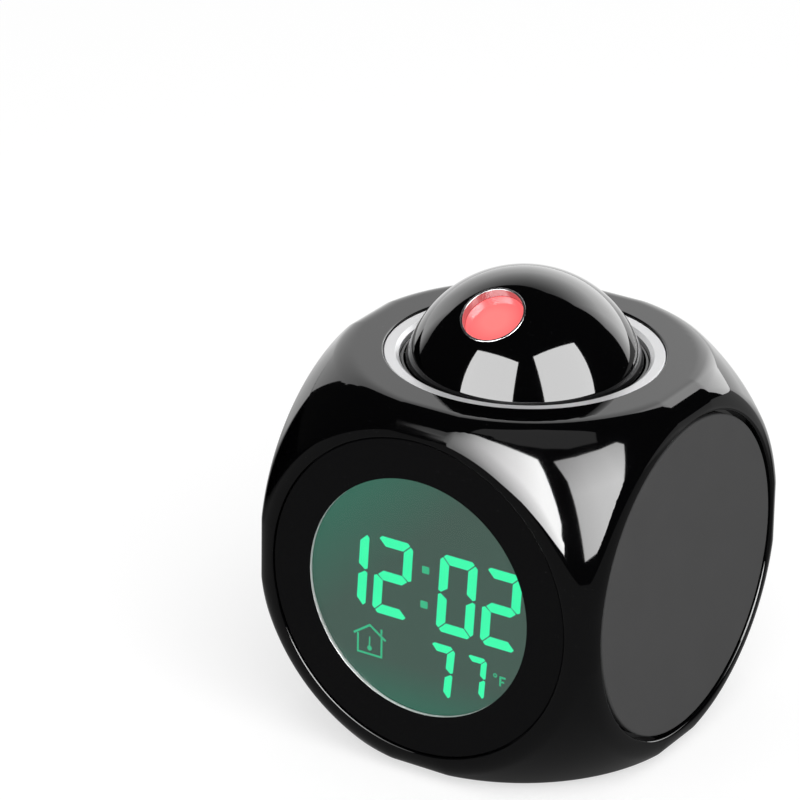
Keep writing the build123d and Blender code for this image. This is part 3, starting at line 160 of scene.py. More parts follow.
def put_in(tree, slot, value):
    """Gives an input a number or a tuple, or joins a socket to it."""
    if isinstance(value, (int, float, tuple)):
        slot.default_value = value
    elif value is not None:
        link(tree, value, slot)


def math_node(tree, operation, first, second=None):
    """Math node whose inputs are numbers or sockets; returns its value socket."""
    node = add(tree, "ShaderNodeMath", operation=operation)
    put_in(tree, node.inputs[0], first)
    put_in(tree, node.inputs[1], second)
    return node.outputs[0]


def times(tree, first, *others):
    """Product of numbers or sockets."""
    for other in others:
        first = math_node(tree, "MULTIPLY", first, other)
    return first


def length_of(tree, first, second):
    """Root of the sum of two squares."""
    squares = [math_node(tree, "POWER", value, 2.0) for value in (first, second)]
    return math_node(tree, "SQRT", math_node(tree, "ADD", *squares))


def band(tree, value, low, high, foot=0.0, head=1.0):
    """Goes evenly from foot to head while the value goes from low to high."""
    node = add(tree, "ShaderNodeMapRange", clamp=True)
    for slot, number in zip(node.inputs, (value, low, high, foot, head)):
        put_in(tree, slot, number)
    return node.outputs["Result"]


def mixed(tree, kind, factor, first, second):
    """Two numbers or two colours mixed by a socket; returns the result."""
    mix = add(tree, "ShaderNodeMix", data_type=kind)
    for slot, value in (("Factor", factor), ("A", first), ("B", second)):
        put_in(tree, mix.inputs[slot], value)
    return mix.outputs["Result"]


def here(tree):
    """Place of a point on the piece's own coordinates, in metres."""
    return add(tree, "ShaderNodeTexCoord").outputs["Object"]


def along(tree, direction, operation="DOT_PRODUCT"):
    """How far a point lies along a direction, in metres, or another sum of the two."""
    node = add(tree, "ShaderNodeVectorMath", operation=operation)
    put_in(tree, node.inputs[0], here(tree))
    put_in(tree, node.inputs[1], tuple(direction))
    return node.outputs["Value"]


def for_rays(tree, plain, mirrored, seen):
    """Value that is plain to matt surfaces, and others in a mirror and to the camera.

    The camera looks through the clear window too, so those rays get what it sees.
    """
    path = add(tree, "ShaderNodeLightPath")
    value = plain
    for ray, other in (("Glossy", mirrored), ("Transmission", seen), ("Camera", seen)):
        value = mixed(tree, "FLOAT", path.outputs[f"Is {ray} Ray"], value, other)
    return value


def new_material(name, colour, roughness, metallic=0.0, **constants):
    """Principled material with constant sockets set; returns material, tree and shader."""
    material = bpy.data.materials.new(name)
    material.use_nodes = True
    shader = material.node_tree.nodes["Principled BSDF"]
    shader.inputs["Base Color"].default_value = (*colour, 1.0)
    shader.inputs["Roughness"].default_value = roughness
    shader.inputs["Metallic"].default_value = metallic
    for socket, value in constants.items():
        shader.inputs[socket.replace("_", " ")].default_value = value
    return material, material.node_tree, shader


# %% [markdown]
# ## The light
# Gloss black has hardly a colour of its own: what it shows is the studio. Two bright sheets
# stand left and right of the camera. A dimmer one behind the clock makes the grey sheen of
# the top and of the edges, and a faint one hangs above the front. Their only work is to be
# mirrored, so they give no light to matt surfaces. Each is flat, and given by the directions
# of its corners as the clock sees them. The ball and the housing have their own sheets,
# since one set can't suit both.

# %% Directions round the clock
SHEET_DISTANCE = 1.2
UP = Vector((0, 0, 1))


def direction(turn, height):
    """Unit vector from the clock; the turn runs from the front, 0, to the right side, 90."""
    turn, height = math.radians(turn), math.radians(height)
    return Vector((math.sin(turn) * math.cos(height), -math.cos(turn) * math.cos(height),
                   math.sin(height)))


# %% Sheets of light: corners, brightness at some turns, and how it fades upwards
# A corner is a turn and a height in degrees. Between the given turns the brightness goes
# evenly from one value to the next. The last list does the same for the height, as a share.
EVEN = [(0, 1.0)]
PANE = [(0, 15.0)]
BALL_SHEETS = {
    "left": ([(-34, 43), (23, 46), (20.5, 8.4), (-30, 4.3)], PANE, EVEN),
    "right": ([(43, 51.4), (107.7, 47.5), (99.8, 3.2), (50.6, 8.4)], PANE, EVEN),
    "back": ([(-94, 0), (-94, 8), (-103, 24), (-124, 38), (-143, 47), (-169, 53), (-195, 45),
              (-206, 24), (-207, 0)],
             [(-94, 0.4), (-106, 1.9), (-122, 1.5), (-150, 1.9), (-178, 3.3), (-192, 3.8),
              (-207, 2.0)],
             [(22, 1.0), (50, 0.22)]),
}
BODY_SHEETS = {
    "left": ([(-27.3, 5), (-30.0, 21), (-38.1, 40), (-19, 58.5), (3, 59.5), (25, 57.5),
              (41.5, 53.3), (44.5, 48.3), (46.9, 41), (48.8, 33), (49.9, 25), (48.9, 16),
              (35.3, 6.7), (11, 5), (-2, 2.6), (-13, -3), (-25, -8.7)],
             [(-33, 1.0), (-28, 2.1), (-20, 3.2), (-5, 9.3), (12, 14.3), (28, 18.3), (42, 23.4)],
             EVEN),
    "right": ([(52, 51.4), (67, 51), (84, 49.6), (97, 48), (100, 45.5), (93, 40), (86.5, 34),
               (79.5, 24), (74, 16), (66, 12), (58.5, 8.4), (58.3, 14.4), (58.1, 24), (57.9, 33),
               (57.1, 42)],
              [(56, 10.0), (70, 12.8), (85, 14.0), (100, 12.0)], [(36, 1.0), (50, 0.65)]),
    "back": ([(-112.5, 0), (-107, 8.5), (-99, 20.5), (-106, 33), (-122, 39.5), (-135, 43),
              (-152, 46.5), (-178, 50), (-191, 44), (-200, 32), (-200, 0)],
             [(-148, 1.08), (-160, 1.6), (-168, 1.85), (-178, 3.2), (-190, 3.4)],
             [(30, 1.0), (46, 0.75)]),
    "upper": ([(-18, 64), (9, 60.5), (28, 59.5), (47, 57.5), (65, 55), (86, 52.5), (96, 60),
               (112, 72), (-170, 80), (-66, 79)], [(0, 0.5)], EVEN),
}


def ramp(tree, value, stops):
    """Curve of straight runs through (value, level) stops, level beyond both ends."""
    level = stops[0][1]
    for (start, low), (end, high) in zip(stops, stops[1:]):
        level = math_node(tree, "ADD", level, band(tree, value, start, end, 0.0, high - low))
    return level


def light_sheet(name, corners, turns, heights, seen_in):
    """Flat sheet of light, square to the mean of its corner directions.

    A corner lies along its direction d where d * scale meets the sheet: scale is the
    sheet's distance over the cosine between d and the mean direction. The sheet is clear
    as well as bright, so that no sheet hides another.
    """
    rays = [direction(*corner) for corner in corners]
    middle = sum(rays, Vector()).normalized()
    ahead = Vector((middle.x, middle.y, 0.0)).normalized()
    across = UP.cross(ahead)
    clock = Vector(BALL_MIDDLE) * MM
    material = bpy.data.materials.new(name)
    material.use_nodes = True
    tree = material.node_tree
    tree.nodes.remove(tree.nodes["Principled BSDF"])
    glow, both = add(tree, "ShaderNodeEmission"), add(tree, "ShaderNodeAddShader")
    link(tree, glow.outputs[0], both.inputs[0])
    link(tree, add(tree, "ShaderNodeBsdfTransparent").outputs[0], both.inputs[1])
    link(tree, both.outputs[0], tree.nodes["Material Output"].inputs["Surface"])
    sideways, forwards = along(tree, across), along(tree, ahead)
    turn = math_node(tree, "ARCTAN2", sideways, forwards)
    height = math_node(tree, "ARCTAN2", math_node(tree, "SUBTRACT", along(tree, UP), clock.z),
                       length_of(tree, sideways, forwards))
    facing = math.degrees(math.atan2(ahead.x, -ahead.y))
    facing -= 360 * round((facing - corners[0][0]) / 360)
    level = ramp(tree, turn, [(math.radians(t - facing), value) for t, value in turns])
    share = ramp(tree, height, [(math.radians(h), value) for h, value in heights])
    put_in(tree, glow.inputs["Strength"], times(tree, level, share))
    spots = [clock + ray * (SHEET_DISTANCE / ray.dot(middle)) for ray in rays]
    sheet = stage_sheet(name, spots, material)
    sheet.visible_camera = sheet.visible_diffuse = sheet.visible_shadow = False
    sheet.light_linking.receiver_collection = seen_in
    return sheet


def stage_sheet(name, corners, material):
    """Flat sheet of the studio with any number of corners."""
    mesh = bpy.data.meshes.new(name)
    mesh.from_pydata([tuple(c) for c in corners], [], [tuple(range(len(corners)))])
    mesh.materials.append(material)
    sheet = new_object(name, mesh)
    return sheet


seen_in_ball = bpy.data.collections.new("mirrors_the_ball_sheets")
seen_in_body = bpy.data.collections.new("mirrors_the_body_sheets")
STAGE = ["floor"]
for name, group, sheets in (("ball", seen_in_ball, BALL_SHEETS),
                            ("body", seen_in_body, BODY_SHEETS)):
    for side, place in sheets.items():
        STAGE.append(light_sheet(f"{side}_sheet_of_the_{name}", *place, group).name)
print("sheets of light:", ", ".join(STAGE[1:]))

# %% [markdown]
# One large plain light and a dim white room then show every matt colour about as it is
# written. To a mirror the room is dark, so that the gloss stays black between the sheets,
# and to the camera it is plain white. The floor is white to the camera too, but part of its
# brightness is lit, and so it keeps the clock's shadow. To a mirror the floor is bright far
# behind the clock, grey beside it on the right, and dim close to it.

# %% Key light, room and floor
KEY_TURN, KEY_HEIGHT, KEY_DISTANCE, KEY_SIZE = 50, 48, 1.6, 1.2
KEY_LEVEL = 0.62                # of a surface's own colour, where it faces the light
ROOM_LEVEL, ROOM_MIRRORED = 0.55, 0.012
key_data = bpy.data.lights.new("key_light", "AREA")
key_data.size = KEY_SIZE
key_data.energy = KEY_LEVEL * (math.pi * KEY_DISTANCE) ** 2
out = direction(KEY_TURN, KEY_HEIGHT)
key_light = new_object("key_light", key_data)
key_light.matrix_world = (Matrix.Translation(out * KEY_DISTANCE)
                          @ turned(UP.cross(out), out.cross(UP.cross(out))))
key_light.visible_glossy = key_light.visible_camera = False

world = bpy.data.worlds.new("studio")
world.use_nodes = True
tree = world.node_tree
room = tree.nodes["Background"]
link(tree, for_rays(tree, ROOM_LEVEL, ROOM_MIRRORED, 1.0), room.inputs["Strength"])
room.inputs["Color"].default_value = (1, 1, 1, 1)
scene.world = world

SQUARE = ((-1, -1), (1, -1), (1, 1), (-1, 1))
FLOOR = 12.0                    # half its width
FLOOR_COLOUR = 0.86             # as it lights the clock
FLOOR_LIT, FLOOR_GLOW = 0.42, 0.66      # as seen: its own colour and its glow
FAN_SLOPE, FAN_HALF_WIDTH, FAN_EDGE = 0.72, 0.035, 0.02     # mirrored ground behind the clock
BEHIND = [(0.03, 0.0), (0.10, 0.5), (0.35, 1.25)]           # metres behind, brightness
FLANK_FROM, FLANK_ASIDE, FLANK_LEVEL = (0.05, 0.08), (0.14, 0.18), 0.3
NEAR_TO, NEAR_LEVEL = (0.12, 0.04), 0.15
floor_material, tree, shader = new_material("pale_floor", (1, 1, 1), 0.9,
                                            Specular_IOR_Level=0.0, Emission_Color=(1, 1, 1, 1))
shade = add(tree, "ShaderNodeCombineColor")
lit = for_rays(tree, FLOOR_COLOUR, 0.0, FLOOR_LIT)
for channel in ("Red", "Green", "Blue"):
    link(tree, lit, shade.inputs[channel])
link(tree, shade.outputs["Color"], shader.inputs["Base Color"])
away = Vector((-CAMERA_AT[0], -CAMERA_AT[1], 0)).normalized()
back, right = along(tree, away), along(tree, away.cross(UP))
aside = math_node(tree, "ABSOLUTE", right)
fan = band(tree, math_node(tree, "SUBTRACT", times(tree, back, FAN_SLOPE), aside),
           -FAN_HALF_WIDTH - FAN_EDGE, -FAN_HALF_WIDTH)
behind = times(tree, fan, ramp(tree, back, BEHIND))
flank = times(tree, band(tree, back, *FLANK_FROM),
              band(tree, right, *FLANK_ASIDE, 0.0, FLANK_LEVEL))
near = band(tree, back, *NEAR_TO, 0.0, NEAR_LEVEL)
mirrored = math_node(tree, "ADD", math_node(tree, "MAXIMUM", behind, flank), near)
link(tree, for_rays(tree, 0.0, mirrored, FLOOR_GLOW), shader.inputs["Emission Strength"])
stage_sheet("floor", [(x * FLOOR, y * FLOOR, 0) for x, y in SQUARE], floor_material)
print("stage: floor, world and key light")

# %% [markdown]
# ## Surface effects
# Moulded, turned and painted surfaces differ in small ways: dust and wipe marks on gloss,
# a fine pitted grain on satin plastic, turning lines on metal, and rubbed edges. Each is a
# node group, made once, that puts out masks and heights. The materials decide what to do
# with them.

# %% Group helpers


def new_group(name, inputs, outputs):
    """Shader node group with float sockets; returns the tree and its sockets on both sides."""
    group = bpy.data.node_groups.new(name, "ShaderNodeTree")
    for side, sockets in (("INPUT", inputs), ("OUTPUT", dict.fromkeys(outputs, 0.0))):
        for socket, value in sockets.items():
            group.interface.new_socket(name=socket, in_out=side,
                                       socket_type="NodeSocketFloat").default_value = value
    return group, add(group, "NodeGroupInput").outputs, add(group, "NodeGroupOutput").inputs


def noise(tree, scale, detail, stretch=(1.0, 1.0, 1.0)):
    """Noise on the piece's own coordinates in millimetres; returns its value socket."""
    mapping = add(tree, "ShaderNodeMapping")
    mapping.inputs["Scale"].default_value = tuple(s / MM for s in stretch)
    pattern = add(tree, "ShaderNodeTexNoise")
    pattern.inputs["Detail"].default_value = detail
    put_in(tree, pattern.inputs["Scale"], scale)
    link(tree, here(tree), mapping.inputs["Vector"])
    link(tree, mapping.outputs["Vector"], pattern.inputs["Vector"])
    return pattern.outputs["Fac"]


# %% Dust and wipe marks
wiped, given, put = new_group("dust_and_wipes", {"Dust": 1.0, "Wipes": 1.0}, ["Dust", "Wipes"])
specks = band(wiped, noise(wiped, 3.1, 2.0), 0.735, 0.80)
cloud = band(wiped, noise(wiped, 0.06, 3.0), 0.35, 0.75)
link(wiped, times(wiped, specks, cloud, given["Dust"]), put["Dust"])
streaks = band(wiped, noise(wiped, 0.22, 4.0, (1.0, 0.35, 0.2)), 0.42, 0.78)
link(wiped, times(wiped, streaks, given["Wipes"]), put["Wipes"])

# %% Fine moulded grain
grained, given, put = new_group("moulded_grain", {"Size": 5.0}, ["Height", "Shade"])
fine, coarse = noise(grained, given["Size"], 3.0), noise(grained, 0.12, 2.0)
link(grained, fine, put["Height"])
link(grained, math_node(grained, "ADD", times(grained, fine, 0.5), times(grained, coarse, 0.5)),
     put["Shade"])

# %% Turning lines: noise on the distance from an upright or level axis
lathed, given, put = new_group("turning_lines", {"Pitch": 9.0, "Upright": 1.0}, ["Line"])
level = math_node(lathed, "SUBTRACT", along(lathed, UP), MIDDLE[2] * MM)
upright = times(lathed, along(lathed, (0, 1, 0)), given["Upright"])
lying = times(lathed, level, math_node(lathed, "SUBTRACT", 1.0, given["Upright"]))
radius = length_of(lathed, along(lathed, (1, 0, 0)), math_node(lathed, "ADD", upright, lying))
rings = add(lathed, "ShaderNodeTexNoise", noise_dimensions="1D")
rings.inputs["Detail"].default_value = 4.0
rings.inputs["Scale"].default_value = 1.0
link(lathed, times(lathed, radius, 1 / MM, given["Pitch"]), rings.inputs["W"])
link(lathed, rings.outputs["Fac"], put["Line"])

# %% Rubbed edges
rubbed, given, put = new_group("rubbed_edges", {"Amount": 1.0}, ["Edge"])
bent = add(rubbed, "ShaderNodeNewGeometry").outputs["Pointiness"]
patchy = band(rubbed, noise(rubbed, 0.8, 3.0), 0.3, 0.7)
link(rubbed, times(rubbed, band(rubbed, bent, 0.53, 0.60), patchy, given["Amount"]), put["Edge"])
print("effects:", ", ".join(g.name for g in (wiped, grained, lathed, rubbed)))

# %% [markdown]
# ## Materials
# Every material is a Principled shader. Its colour, roughness and bump are driven by the
# effects above, in amounts that suit the finish.

# %% Material helpers


def effect(tree, group, **values):
    """Places an effect in a material with its own values."""
    node = add(tree, "ShaderNodeGroup", node_tree=group)
    for socket, value in values.items():
        node.inputs[socket].default_value = value
    return node.outputs


def vary_colour(tree, shader, mask, first, second, slot="Base Color"):
    """Colour from first to second as the mask rises."""
    link(tree, mixed(tree, "RGBA", mask, (*first, 1.0), (*second, 1.0)), shader.inputs[slot])


def vary_glow(tree, shader, mask, first, second):
    """Light of its own from first to second as the mask rises."""
    vary_colour(tree, shader, mask, first, second, "Emission Color")
    shader.inputs["Emission Strength"].default_value = 1.0


def vary_roughness(tree, shader, mask, low, high):
    """Roughness from low to high as the mask rises."""
    link(tree, band(tree, mask, 0.0, 1.0, low, high), shader.inputs["Roughness"])


def raise_surface(tree, shader, height, depth_mm):
    """Bump from a height socket, whose full rise is depth_mm."""
    bump = add(tree, "ShaderNodeBump")
    bump.inputs["Distance"].default_value = depth_mm * MM
    bump.inputs["Strength"].default_value = 1.0
    link(tree, height, bump.inputs["Height"])
    link(tree, bump.outputs["Normal"], shader.inputs["Normal"])


DUST_GREY = (0.30, 0.30, 0.31)  # and the other amounts that the finishes share
MARKS_DULL = 0.10               # roughness added by full marks
GRAIN_SHADE, GRAIN_DULL = 0.10, 0.05    # spread of colour and roughness about the mean
RUBBED_PALER, LINES_DULL, LINE_DEPTH = 1.12, 0.06, 0.004


def gloss_plastic(name, colour, dust, wipes, smooth, **constants):
    """Polished moulded plastic with a little dust and faint wipe marks."""
    material, tree, shader = new_material(name, colour, smooth, **constants)
    marks = effect(tree, wiped, Dust=dust, Wipes=wipes)
    vary_colour(tree, shader, marks["Dust"], colour, DUST_GREY)
    vary_roughness(tree, shader, math_node(tree, "MAXIMUM", marks["Dust"], marks["Wipes"]),
                   smooth, smooth + MARKS_DULL)
    return material


def satin_plastic(name, colour, roughness, size, depth_mm, **constants):
    """Moulded plastic with a fine grain that shades and pits it."""
    material, tree, shader = new_material(name, colour, roughness, **constants)
    grain = effect(tree, grained, Size=size)
    dark, light = ([min(1.0, c * (1 + shift)) for c in colour]
                   for shift in (-GRAIN_SHADE, GRAIN_SHADE))
    vary_colour(tree, shader, grain["Shade"], dark, light)
    vary_roughness(tree, shader, grain["Shade"], roughness - GRAIN_DULL, roughness + GRAIN_DULL)
    raise_surface(tree, shader, grain["Height"], depth_mm)
    return material


def worked_metal(name, colour, roughness, pitch):
    """Turned metal: rings of finer and coarser shine, paler where edges are rubbed."""
    material, tree, shader = new_material(name, colour, roughness, 1.0)
    line = effect(tree, lathed, Pitch=pitch)["Line"]
    pale = [min(1.0, c * RUBBED_PALER) for c in colour]
    vary_colour(tree, shader, effect(tree, rubbed)["Edge"], colour, pale)
    vary_roughness(tree, shader, line, roughness - LINES_DULL, roughness + LINES_DULL)
    raise_surface(tree, shader, line, LINE_DEPTH)
    return material


# %% The finishes
BLACK = (0.0010, 0.0010, 0.0012)
housing_gloss = gloss_plastic("housing_gloss", BLACK, 0.35, 0.15, 0.038)
ball_gloss = gloss_plastic("ball_gloss", BLACK, 0.25, 0.20, 0.035)
collar_gloss = gloss_plastic("collar_gloss", BLACK, 0.2, 0.2, 0.08)
bezel_gloss = gloss_plastic("bezel_gloss", (0.0036, 0.0036, 0.0039), 0.5, 0.4, 0.16,
                            Specular_IOR_Level=0.18)
panel_satin = satin_plastic("panel_satin", (0.012, 0.012, 0.013), 0.42, 6.0, 0.02)
disc_grey = satin_plastic("disc_grey", (0.0745, 0.0745, 0.0750), 0.55, 6.0, 0.006,
                          Specular_IOR_Level=0.25)
button_satin = satin_plastic("button_satin", (0.028, 0.028, 0.030), 0.45, 7.0, 0.012)
inner_black = satin_plastic("inner_black", (0.030, 0.030, 0.032), 0.55, 5.0, 0.02)
rubber_black = satin_plastic("rubber_black", (0.022, 0.022, 0.022), 0.85, 4.0, 0.03)
milky_plastic = satin_plastic("milky_plastic", (0.78, 0.82, 0.80), 0.40, 5.0, 0.01)
paper_black = satin_plastic("paper_black", (0.035, 0.034, 0.033), 0.95, 2.5, 0.06)
ring_satin = satin_plastic("ring_satin", (0.70, 0.70, 0.71), 0.34, 5.0, 0.002, Metallic=0.35)
trim_bright = satin_plastic("trim_bright", (0.72, 0.74, 0.73), 0.34, 5.0, 0.002,
                            Metallic=0.35)
lens_trim = worked_metal("lens_trim", (0.42, 0.42, 0.43), 0.25, 8.0)
zinc_steel = worked_metal("zinc_steel", (0.60, 0.60, 0.58), 0.36, 5.0)
print("finishes so far:", len([m for m in bpy.data.materials if m.use_nodes]))

# %% [markdown]
# ## Making surfaces
# A new piece is one or more sheets. A sheet is a grid of points worked out as whole arrays,
# with the exact direction that the surface faces at each point. Sheets are then welded into
# one mesh. Exact directions matter here: a mirror shows every kink, and a small error in
# them bends the edge of a reflected light more than any error in place.

# %% Weld sheets into a piece
WELD = 1e-4                     # millimetres


def build_piece(name, sheets, body, replaced, material):
    """One mesh from sheets of (points, directions), each an array of rows x columns x 3.

    Each cell of a grid gives two triangles. Points that coincide are merged, triangles that
    shrink to nothing at a pole are left out, and any that face away from their directions
    are turned over.
    """
    corners, facing, triangles, start = [], [], [], 0
    for points, directions in sheets:
        rows, columns = points.shape[:2]
        index = start + np.arange(rows * columns).reshape(rows, columns)
        a, b, c, d = index[:-1, :-1], index[:-1, 1:], index[1:, 1:], index[1:, :-1]
        triangles += [np.stack(three, -1).reshape(-1, 3) for three in ((a, b, c), (a, c, d))]
        corners.append(points.reshape(-1, 3))
        facing.append(np.broadcast_to(directions, points.shape).reshape(-1, 3))
        start += rows * columns
    corners, facing, triangles = map(np.concatenate, (corners, facing, triangles))
    _, keep, merged = np.unique(np.round(corners / WELD).astype(np.int64), axis=0,
                                return_index=True, return_inverse=True)
    merged = merged.reshape(-1)
    whole = merged[triangles]
    triangles = triangles[np.all(whole != np.roll(whole, -1, axis=1), axis=1)]
    p, q, r = (corners[triangles[:, k]] for k in range(3))
    turn = np.einsum("ij,ij->i", np.cross(q - p, r - p), facing[triangles].sum(axis=1)) < 0
    triangles[turn] = triangles[turn][:, ::-1]
    mesh = bpy.data.meshes.new(name)
    mesh.vertices.add(len(keep))
    mesh.vertices.foreach_set("co", (corners[keep] * MM).astype(np.float32).ravel())
    mesh.loops.add(triangles.size)
    mesh.loops.foreach_set("vertex_index", merged[triangles].astype(np.int32).ravel())
    mesh.polygons.add(len(triangles))
    mesh.polygons.foreach_set("loop_start", np.arange(0, triangles.size, 3, dtype=np.int32))
    mesh.update(calc_edges=True)
    mesh.validate()
    mesh.polygons.foreach_set("use_smooth", np.ones(len(mesh.polygons), bool))
    mesh.normals_split_custom_set(facing[triangles].reshape(-1, 3).tolist())
    mesh.materials.append(material)
    piece = new_object(name, mesh)
    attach(piece, body)
    if replaced:
        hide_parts(*replaced)
    print(name, len(mesh.polygons), "triangles")


def unit(vectors):
    """Vectors scaled to length 1."""
    return vectors / np.maximum(np.linalg.norm(vectors, axis=-1, keepdims=True), 1e-12)


def third(points, value):
    """Points (u, v) given a third coordinate."""
    return np.concatenate((points, np.broadcast_to(value, points.shape[:-1] + (1,))), -1)


def around(angle):
    """Points (cos, sin) of the unit circle at angles."""
    return np.stack((np.cos(angle), np.sin(angle)), -1)


def strip(start, end, directions):
    """Sheet of one row of cells between two lines."""
    return np.stack((start, end)), directions


# %% [markdown]
# ## The housing
# The moulding is a cube whose edges, corners and the blends between them all share one
# radius. Such a form is easiest to think of as a ball rolled round a smaller core: here the
# core is a small cube cut by a sphere, and a point lies on the housing when its distance
# from the core is the radius. The same rule gives the inner side of the wall, at a shorter
# distance, and the direction away from the core is the exact direction of the surface.

# %% Distance from the core
EDGE_R = 6.0
CORNER_CUT = 2.07
WALL = 2.2
HALVINGS = 44                   # as far as floating point numbers go
CORE = HALF - EDGE_R
CORE_BALL = math.sqrt(2) * HALF - CORNER_CUT - EDGE_R


def nearest_in_core(points):
    """Closest point of the core to each point.

    The candidates are: the point clamped to the cube, the point drawn back to the sphere,
    and, for each face of the cube, the point drawn to the circle where the sphere cuts that
    face, or to the end of its arc. The nearest allowed candidate wins.
    """
    signs, p = np.where(points < 0, -1.0, 1.0), np.abs(points)
    in_cube = np.minimum(p, CORE)
    on_sphere = unit(p) * CORE_BALL
    choices = [in_cube, on_sphere]
    allowed = [np.linalg.norm(in_cube, axis=-1) <= CORE_BALL, on_sphere.max(-1) <= CORE]
    circle = math.sqrt(CORE_BALL ** 2 - CORE ** 2)
    arc_end = math.sqrt(circle ** 2 - CORE ** 2)
    for axis in range(3):
        flat = p.copy()
        flat[..., axis] = 0
        flat = unit(flat) * circle
        high = flat.max(-1, keepdims=True)
        flat = np.where(high > CORE, np.where(flat == high, CORE, arc_end), flat)
        flat[..., axis] = CORE
        choices.append(flat)
        allowed.append(np.ones(p.shape[:-1], bool))
    gaps = np.stack([np.where(ok, np.linalg.norm(p - c, axis=-1), np.inf)
                     for c, ok in zip(choices, allowed)])
    best = np.argmin(gaps, axis=0)
    chosen = np.take_along_axis(np.stack(choices), best[None, ..., None], axis=0)[0]
    return chosen * signs


def from_core(points):
    """Distance of points from the core."""
    return np.linalg.norm(points - nearest_in_core(points), axis=-1, keepdims=True)


def march(base, step, distance, far):
    """Points base + t * step whose distance from the core is given, by halving 0 < t < far."""
    low, high = np.zeros(base.shape[:-1] + (1,)), np.full(base.shape[:-1] + (1,), far)
    for _ in range(HALVINGS):
        t = (low + high) / 2
        inside = from_core(base + t * step) < distance
        low, high = np.where(inside, t, low), np.where(inside, high, t)
    return base + (low + high) / 2 * step


def on_form(point):
    """Direction of the form at its points."""
    return unit(point - nearest_in_core(point))


# %% [markdown]
# Each face of the cube is a patch of its own, with its round seat in the middle. On a face,
# u and v run across and w outwards. The columns of the grid are angles round the seat and
# its rows run from the edge shared with the next face in to the seat, down its wall and back
# along the inside of the moulding. Angles are whole fractions of 45 degrees, so that the
# patches meet point to point at the corners.

# %% Face patches
FACE_AXES = {                   # world directions of u, v and w
    "front": ((1, 0, 0), (0, 0, 1), (0, -1, 0)), "rear": ((-1, 0, 0), (0, 0, 1), (0, 1, 0)),
    "right": ((0, 1, 0), (0, 0, 1), (1, 0, 0)), "left": ((0, -1, 0), (0, 0, 1), (-1, 0, 0)),
    "top": ((1, 0, 0), (0, 1, 0), (0, 0, 1)), "bottom": ((1, 0, 0), (0, -1, 0), (0, 0, -1)),
}
SEAT_R = BEZEL_R + 0.1
TOP_SEAT_R = RING_R + 0.15
SEAT_DEPTH = 1.75               # of the display's seat
SEAT_PLATE = 2.0
SEATS = {                       # radius, depth, opening radius and edge rounding
    "front": (SEAT_R, SEAT_DEPTH, 31.5, 0.30), "rear": (SEAT_R, 3.1, 28.5, 0.45),
    "right": (SEAT_R, 2.0, 30.0, 0.55), "left": (SEAT_R, 2.0, 30.0, 0.55),
    "bottom": (SEAT_R, 2.5, 31.9, 0.40), "top": (TOP_SEAT_R, 2.4, 27.05, 0.35),
}
PATCH_ROWS, ROUND_ROWS, ANGLES = 26, 6, 288
PLATE_TRIES = 41                # places tried along the seat's plate for its end
OUTER_SHEETS = 5                # of a patch: form, rim, wall, floor of the seat, opening


def face_patch(face, first, last):
    """Sheets of one face between two angles, as (points, directions) in the world.

    Along a column the outer form goes from the cube's diagonal to the seat: its points are
    equal steps between the two in u/w and v/w, each sent out from the middle until it lies
    EDGE_R from the core. The rounded rim is a quarter turn between the form's direction and
    the seat's wall. The inner form is the same rule at EDGE_R - WALL.
    """
    radius, depth, opening, rounding = SEATS[face]
    angle = np.linspace(first, last, round(abs(last - first) / (2 * math.pi) * ANGLES) + 1)
    ring = third(around(angle), 0.0)
    up = np.array([0.0, 0.0, 1.0])

    def form_patch(rim, distance):
        slopes = rim[:, :2] / rim[:, 2:]
        edge = ring[:, :2] / np.abs(ring[:, :2]).max(-1, keepdims=True)
        t = np.linspace(0, 1, PATCH_ROWS)[:, None, None]
        slope = edge + (slopes - edge) * t
        ray = unit(third(slope, 1.0))
        points = march(np.zeros_like(ray), ray, distance, 2 * HALF)
        return points, on_form(points)

    def lift(points, distance):
        flat = points * (1, 1, 0)
        return march(flat, np.broadcast_to(up, flat.shape), distance, 2 * HALF)

    rim = lift(ring * (radius + rounding), EDGE_R)
    outer = form_patch(rim, EDGE_R)
    turn = np.linspace(0, math.pi / 2, ROUND_ROWS)[:, None, None]
    round_facing = unit(np.cos(turn) * on_form(rim) - np.sin(turn) * ring)
    rounded = rim - rounding * (np.sin(turn) * ring + (1 - np.cos(turn)) * up)
    wall_top, floor_w, back_w = rounded[-1], HALF - depth, HALF - depth - SEAT_PLATE
    seat_foot = ring * radius + up * floor_w
    lip, lip_back = ring * opening + up * floor_w, ring * opening + up * back_w
    reach = ring * (radius + WALL)
    inner_rim = lift(reach, EDGE_R - WALL)
    low = inner_rim[:, 2:] < back_w
    spread = np.linspace(0, 1, PLATE_TRIES)[:, None, None]
    plate = reach + up * back_w - lip_back
    tries = lip_back + plate * spread
    last_in = np.where(from_core(tries) < EDGE_R - WALL, spread, 0).max(axis=0)
    plate_end = np.where(low, lip_back + plate * last_in, reach + up * back_w)
    inner_rim = np.where(low, plate_end, inner_rim)
    inner = form_patch(inner_rim, EDGE_R - WALL)
    sheets = [
        outer, (rounded, round_facing), strip(wall_top, seat_foot, -ring),
        strip(seat_foot, lip, up), strip(lip, lip_back, -ring), strip(lip_back, plate_end, -up),
        strip(plate_end, inner_rim, ring), (inner[0], -inner[1]),
    ]
    axes = np.array(FACE_AXES[face], float)
    return [(p @ axes + MIDDLE, np.broadcast_to(n, p.shape) @ axes) for p, n in sheets]


